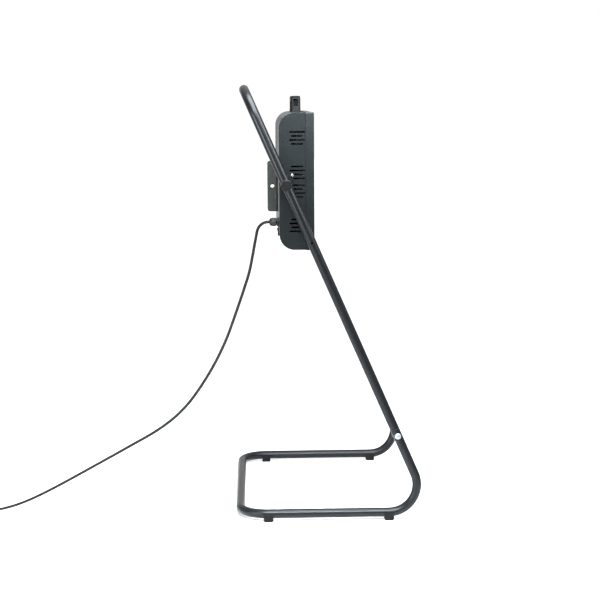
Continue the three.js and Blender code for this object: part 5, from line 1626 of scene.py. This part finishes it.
# %% Bracket
bracket_half_width = 20
bracket_half_height = 61
bracket_sheet = 2.5
bracket_corner = 6.5
cross_hole = 5.1
through_bracket = (12, 25)
seat = case_back + play
tip = case_back + 24.5
bracket_low = bracket_middle - bracket_half_height
bracket_high = bracket_middle + bracket_half_height
u_line = softened([(-bracket_half_width, tip + 2), (-bracket_half_width, seat),
                   (bracket_half_width, seat), (bracket_half_width, tip + 2)], 4, 8)
channel = prism(folded(u_line, bracket_sheet), bracket_low, bracket_high, "z")
corner_y = tip - bracket_corner
side_line = np.concatenate([
    [(seat - 1, bracket_low)],
    arc((corner_y, bracket_low + bracket_corner), bracket_corner, -90, 0),
    arc((corner_y, bracket_high - bracket_corner), bracket_corner, 0, 90),
    [(seat - 1, bracket_high)]])
side_block = prism(side_line, -bracket_half_width - 1, bracket_half_width + 1)
bracket_blank = cut_away([channel], [side_block], "INTERSECT")
cross_drill = turned(disc(cross_hole, -bracket_half_width - 2, bracket_half_width + 2, 0.01),
                     pivot + [0, (case_back + tip) / 2, bracket_middle], "x", 64)
bracket_drills = [cross_drill]
bracket_drills += [hole_y(0, z, screw_hole, *through_bracket) for z in bracket_screws]
put_in("rear bracket", [cut_away([bracket_blank], bracket_drills)], bracket_paint,
       "casing_paint", "head", edge=0.4, edge_angle=50)
for row, z in zip(("lower", "upper"), bracket_screws):
    place = pivot + [0, seat + bracket_sheet + play, z]
    put_in(f"bracket screw {row}", [pan_head(*bracket_screw, place, "y")], zinc_plate,
           "zinc_steel", "head")

# %% [markdown]
# ## Cable gland
# The gland clamps the cord where it enters the back, and its domed nut is the strain
# relief. Its hexagons have turned chamfers: the radius is the smaller of the hexagon and
# a cone. The thread is a true helix: the radius falls and rises with distance / pitch
# minus the turn's angle.

# %% Gland body
gland_place = pivot + [gland_across, 0, gland_z]
gland_bore = 5.5
thread_radius = 8
thread_pitch = 1.5
thread_depth = 0.35
flange_corner = 11.547
flange_face_radius = 10.5
flange_face = case_back + 4.8
mouth = case_back + 22.4
body_end = mouth - 5.3
body_start = case_back - 11
flange_rows = np.linspace(case_back + play, flange_face, 9)
thread_rows = np.linspace(flange_face, body_end, 40)
gland_profile = np.concatenate([
    [(gland_bore, body_end), (gland_bore, body_start), (thread_radius, body_start),
     (thread_radius, case_back + play)],
    columns(flange_corner, flange_rows), columns(thread_radius, thread_rows),
    [(gland_bore, body_end)]])


def body_shape(angle, radius, along):
    """Flange: min(hexagon, cone). Thread: radius - 0.35 (1 + cos(2 pi s / 1.5 - a)) / 2."""
    depth = np.minimum(along - case_back - play, flange_face - along)
    cone = flange_face_radius + chamfer_slope * depth
    flange = np.minimum(hexagon(angle, radius, along), cone)
    wave = thread_depth * (1 + np.cos(2 * np.pi * along / thread_pitch - angle)) / 2
    threaded = radius - wave * (along > flange_face)
    return np.where(radius > 9, flange, np.where(radius > 7, threaded, radius))


put_in("gland body", [turned(gland_profile, gland_place, "y", 96, body_shape)], black_nylon,
       "black_plastic", "head")

# %% [markdown]
# The nut's dome squeezes the rubber seal round the cord as it is screwed on. Twelve
# shallow flutes in the dome let wet fingers turn it.

# %% Gland nut
gland_nut_corner = 10.97
gland_nut_face_radius = 9.9
flute_count = 12
flute_depth = 0.35
gland_nut_bore = 8.3
cord_hole = 3.8
nut_start = mouth - 15.6
nut_shoulder = mouth - 5
dome_floor = mouth - 4.8
nut_lip = mouth - 0.4
gland_dome = softened([(9.5, nut_shoulder), (8.4, mouth - 1.6), (5.6, mouth), (4.1, mouth)],
                      1.2, 6)
gland_nut_profile = np.concatenate([
    [(cord_hole, nut_lip), (cord_hole, dome_floor), (gland_nut_bore, dome_floor),
     (gland_nut_bore, nut_start)],
    columns(gland_nut_corner, np.linspace(nut_start, nut_shoulder, 17)), gland_dome,
    [(cord_hole, nut_lip)]])


def nut_shape(angle, radius, along):
    """Hexagon with turned ends; dome: radius - 0.35 (1 + cos 12 a) / 2 for the flutes."""
    depth = np.minimum(along - nut_start, nut_shoulder - along)
    cone = gland_nut_face_radius + chamfer_slope * depth
    flats = np.minimum(hexagon(angle, radius, along), cone)
    on_dome = (radius > 5) & (radius < 9.6) & (along > nut_shoulder - 0.1)
    fluted = radius - flute_depth * on_dome * (1 + np.cos(flute_count * angle)) / 2
    return np.where(radius > 10, flats, fluted)


put_in("gland nut", [turned(gland_nut_profile, gland_place, "y", 144, nut_shape)],
       black_nylon, "black_plastic", "head")

# %% [markdown]
# ## Rocker switch
# A small rocker in a bezel, snapped into an oblong hole under the gland. The rocker is a
# shallow V seen from the side, so one half stands out whichever way it is pressed. It
# turns with its own body, and it rests tipped by 8 degrees.

# %% Switch housing
def box_at(half_width, half_height, radius, z=switch_z):
    """A rounded rectangle round a middle at the switch's place across, at height z."""
    return round_box(gland_across - half_width, z - half_height, gland_across + half_width,
                     z + half_height, radius)


switch_face = seat + 1.8
switch_mouth = box_at(5.2, 8.5, 0.6)
switch_well = box_at(6.5, 9.7, 0.5)
bezel = plate(box_at(8.5, 11.35, 1.8), [switch_mouth], seat, switch_face, "y")
well = plate(switch_well, [switch_mouth], case_back - 10, seat + 0.4, "y")
box_behind = plate(switch_well, [], case_back - 19, case_back - 9.9, "y")
tabs = [plate(box_at(2.4, 0.4, 0.2, switch_z + offset), [], case_back - 27,
              case_back - 18.9, "y") for offset in (-3.5, 3.5)]
put_in("switch housing", [bezel, well, box_behind] + tabs, black_nylon, "black_plastic",
       "head", edge=0.5, edge_angle=50, flats=True)

# %% [markdown]
# The rocker is drawn level and then turned about its own pin by (p cos a - q sin a,
# p sin a + q cos a), because at rest it is pressed to one side.

# %% Rocker
rocker_pin = switch_face - 2
rocker_half = 8
rocker_half_width = 4.9
throw = np.radians(16)
face_height = 5.4 - rocker_half * np.sin(throw / 2)
valley = face_height - rocker_half * np.tan(throw / 2)
v_line = softened([(-6, 0), (-6, -3.5), (0, -rocker_half), (face_height, -rocker_half),
                   (valley, 0), (face_height, rocker_half), (0, rocker_half), (-6, 3.5),
                   (-6, 0)], 0.7, 4)[:-1]
tilt = -throw / 2
p, q = v_line.T
rocker_line = columns(rocker_pin + p * np.cos(tilt) - q * np.sin(tilt),
                      switch_z + p * np.sin(tilt) + q * np.cos(tilt))
rocker = prism(rocker_line, gland_across - rocker_half_width,
               gland_across + rocker_half_width)
put_in("switch rocker", [rocker], gloss_plastic, "rocker_plastic", "rocker", edge=0.5,
       edge_angle=50)
print(f"the rocker rests tipped by {np.degrees(tilt):.0f} degrees")

# %% [markdown]
# ## Carrying handle
# The handle is a moulded bridge on two flared feet. Its section is a soft rectangle that
# travels up one foot, over the top and down the other. At every place along it there is
# an outer and an inner point, and the section spans them: middle + half span * c(a) +
# half depth * y * s(a), with (c, s) a superellipse, |c|^6 + |s|^6 = 1.

# %% Lines of the handle
handle_y = -28.9
handle_top = 38.7
foot_outside = 66
shoulder = 59
outer_bend = 12
grip_underside = 23.7
foot_inside = 41
inner_bend = 9
climb = np.linspace(0, 1, 17)


def leg_and_bend(start, end, radius, across):
    """A straight leg from start to end, then a quarter circle inwards round (across, end)."""
    leg = np.array(start) + climb[:, None] * (np.array(end) - start)
    return np.concatenate([leg, arc((across, end[1]), radius, 0, 90, 12)[1:]])


outer_half = np.concatenate([
    leg_and_bend((foot_outside, play), (shoulder, handle_top - outer_bend), outer_bend,
                 shoulder - outer_bend), [(24, handle_top), (0, handle_top)]])
inner_half = np.concatenate([
    leg_and_bend((foot_inside, play), (foot_inside, grip_underside - inner_bend), inner_bend,
                 foot_inside - inner_bend), [(16, grip_underside), (0, grip_underside)]])
outer = np.concatenate([outer_half, (outer_half * [-1, 1])[-2::-1]])
inner = np.concatenate([inner_half, (inner_half * [-1, 1])[-2::-1]])
print(f"grip {handle_top - grip_underside:.0f} mm thick, {2 * foot_inside} mm between feet")

# %% [markdown]
# The handle's depth is 23 mm, and its feet flare by 1.3 mm to each side over their lowest
# 8 mm. A pocket in each end leaves the moulding with walls of about equal thickness, so
# that it cools without sink marks.

# %% Carry handle
handle_half = 11.5
flare_width = 1.3
flare_height = 8
squareness = 6
pocket_half = 5.5
pocket_low = 14.8
pocket_high = 31.3
pocket_corner = 1.2
pocket_floor = 50
pocket_reach = 70
flare = np.clip(1 - (outer[:, 1] - play) / flare_height, 0, 1)
half_depth = handle_half + flare_width * flare ** 2
angle = np.arange(56) * 2 * np.pi / 56
soft = (np.abs(np.cos(angle)) ** squareness
        + np.abs(np.sin(angle)) ** squareness) ** (-1 / squareness)
c, s = soft * np.cos(angle), soft * np.sin(angle)
middle_line, half_span = (outer + inner) / 2, (outer - inner) / 2
bridge = skin(pivot + columns(middle_line[:, :1] + half_span[:, :1] * c,
                              handle_y + half_depth[:, None] * s,
                              case_top + middle_line[:, 1:] + half_span[:, 1:] * c))
pocket = round_box(handle_y - pocket_half, case_top + pocket_low, handle_y + pocket_half,
                   case_top + pocket_high, pocket_corner)
pockets = [prism(pocket, sign * pocket_floor, sign * pocket_reach)
           for side, sign in both_sides]
put_in("carry handle", [cut_away([bridge], pockets)], handle_plastic, "black_plastic",
       "head", edge=0.3, edge_angle=50)

# %% [markdown]
# ## Pieces inside
# What lies inside the casing keeps its CAD shape and real finish; the heat shield's near
# black is painted shade. Little of it shows, through the slots and behind the guard.

# %% Finishes of the CAD pieces
cad_finishes = {
    steatite: ["terminal_block", "thermal_cutout"],
    mill_sheet_dark_as_shade: ["heat_shield"],
    black_nylon: ["gland_locknut", "tilt_switch"],
    foot_rubber: ["gland_seal"],
    cord_sheath: ["cord_tail"],
    zinc_plate: ["pivot_bolt_left", "pivot_bolt_right", "handle_screw_left",
                 "handle_screw_right"],
}
for finish, names in cad_finishes.items():
    for name in names:
        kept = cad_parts[name].data
        kept.materials.clear()
        kept.materials.append(finish)
        print(f"{name}: {finish.name}")

# %% [markdown]
# ## Floor
# The heater stands on plain painted board, pale and nearly even. One big square does: a
# curved backdrop would also hide the horizon, but here the floor runs into a white wall.

# %% Floor
floor_half = 20000
clouds_per_metre = 1.5


def pale_floor():
    """Matt paint whose white drifts very slightly over two thirds of a metre."""
    material, tree, shader, place = blank("pale studio floor")
    cloud = add(tree, "TexNoise", {"Vector": place.outputs["Object"],
                                   "Scale": clouds_per_metre})
    tree.links.new(tinted(tree, cloud.outputs[0], "#f3f3f3", "#f6f6f6"),
                   shader.inputs["Base Color"])
    shader.inputs["Roughness"].default_value = 0.7
    return material


floor_grid = np.array([[(-1, -1, 0), (1, -1, 0)], [(-1, 1, 0), (1, 1, 0)]]) * floor_half
floor_mesh = mesh_of("floor", skin(floor_grid, around=False))
floor_mesh.materials.append(pale_floor())
floor = bpy.data.objects.new("floor", floor_mesh)
bpy.context.scene.collection.objects.link(floor)
print(f"floor of {2 * floor_half * MM:.0f} m square")

# %% [markdown]
# ## Room
# Black paint shows the room around it more than its own colour. In a studio the wall
# behind the object is lit white, the room behind the camera is dim, and a bright ceiling
# lights what faces up. The world's strength follows the direction of the light: it rises
# from dim to white along X, and the ceiling is added where the direction points up.

# %% Room
dim_room = 0.45
white_wall = 1.02
bright_ceiling = 1.1
world = bpy.data.worlds.new("studio")
world.use_nodes = True
tree = world.node_tree
sky = add(tree, "TexCoord")
way = add(tree, "SeparateXYZ", {0: sky.outputs["Generated"]})
wall = add(tree, "MapRange", {"Value": way.outputs["X"], "From Min": -1, "From Max": 0.25,
                              "To Min": dim_room, "To Max": white_wall})
ceiling = add(tree, "MapRange", {"Value": way.outputs["Z"], "From Min": 0.5,
                                 "From Max": 0.85, "To Max": bright_ceiling})
bright = add(tree, "Math", {0: wall.outputs[0], 1: ceiling.outputs[0]}, operation="ADD")
tree.links.new(bright.outputs[0], tree.nodes["Background"].inputs["Strength"])
tree.nodes["Background"].inputs["Color"].default_value = (1, 1, 1, 1)
bpy.context.scene.world = world
bpy.context.scene.view_settings.view_transform = "Standard"
print(f"room {dim_room} behind the camera, {white_wall} behind the heater")

# %% [markdown]
# ## Lamps
# A tube mirrors a lamp as a thin line, so each lamp is there for one highlight: the two
# at the sides draw the lines on the legs and the cord, the one above the camera lifts the
# slotted side, the strip lights the rails, and the last one the head's top. They are
# rectangles, as soft boxes are, and they don't show in the picture themselves.

# %% Lamps
daylight = (0.88, 0.95, 1)
head_side = (-0.28, 0.15, 0.85)


def soft_box(name, place, target, width, height, power, beam=180):
    """A rectangular lamp at a place in metres, turned towards its target.

    Its matrix holds its side, up and backward directions; beam is its spread in degrees."""
    lamp = bpy.data.lights.new(name, "AREA")
    lamp.shape = "RECTANGLE"
    lamp.size = width
    lamp.size_y = height
    lamp.energy = power
    lamp.spread = np.radians(beam)
    lamp.color = daylight
    box = bpy.data.objects.new(name, lamp)
    back = unit(np.array(place, float) - np.array(target, float))
    side = unit(np.cross([0, 0, 1], back))
    turn = np.eye(4)
    turn[:3, :4] = np.stack([side, np.cross(back, side), back, place], axis=1)
    box.matrix_world = Matrix(turn.tolist())
    box.visible_camera = False
    bpy.context.scene.collection.objects.link(box)
    print(f"{name}: {width} x {height} m, {power} W")


soft_box("soft box on the rear side", (-1.6, 1.45, 0.42), head_side, 1.1, 0.4, 42)
soft_box("soft box on the front side", (-0.9, -1.1, 1.38), head_side, 0.9, 0.35, 24)
soft_box("soft box above the camera", (-1.55, 0, 1.4), (-0.28, 0, 0.9), 1, 0.25, 18)
soft_box("strip lamp over the rails", (-1.1, 0, 0.85), (-0.28, 0, 0.04), 1.2, 0.2, 7, 60)
soft_box("soft box over the head", (-0.45, 0.03, 1.27), (-0.26, 0.15, 0.95), 0.55, 0.5, 27)
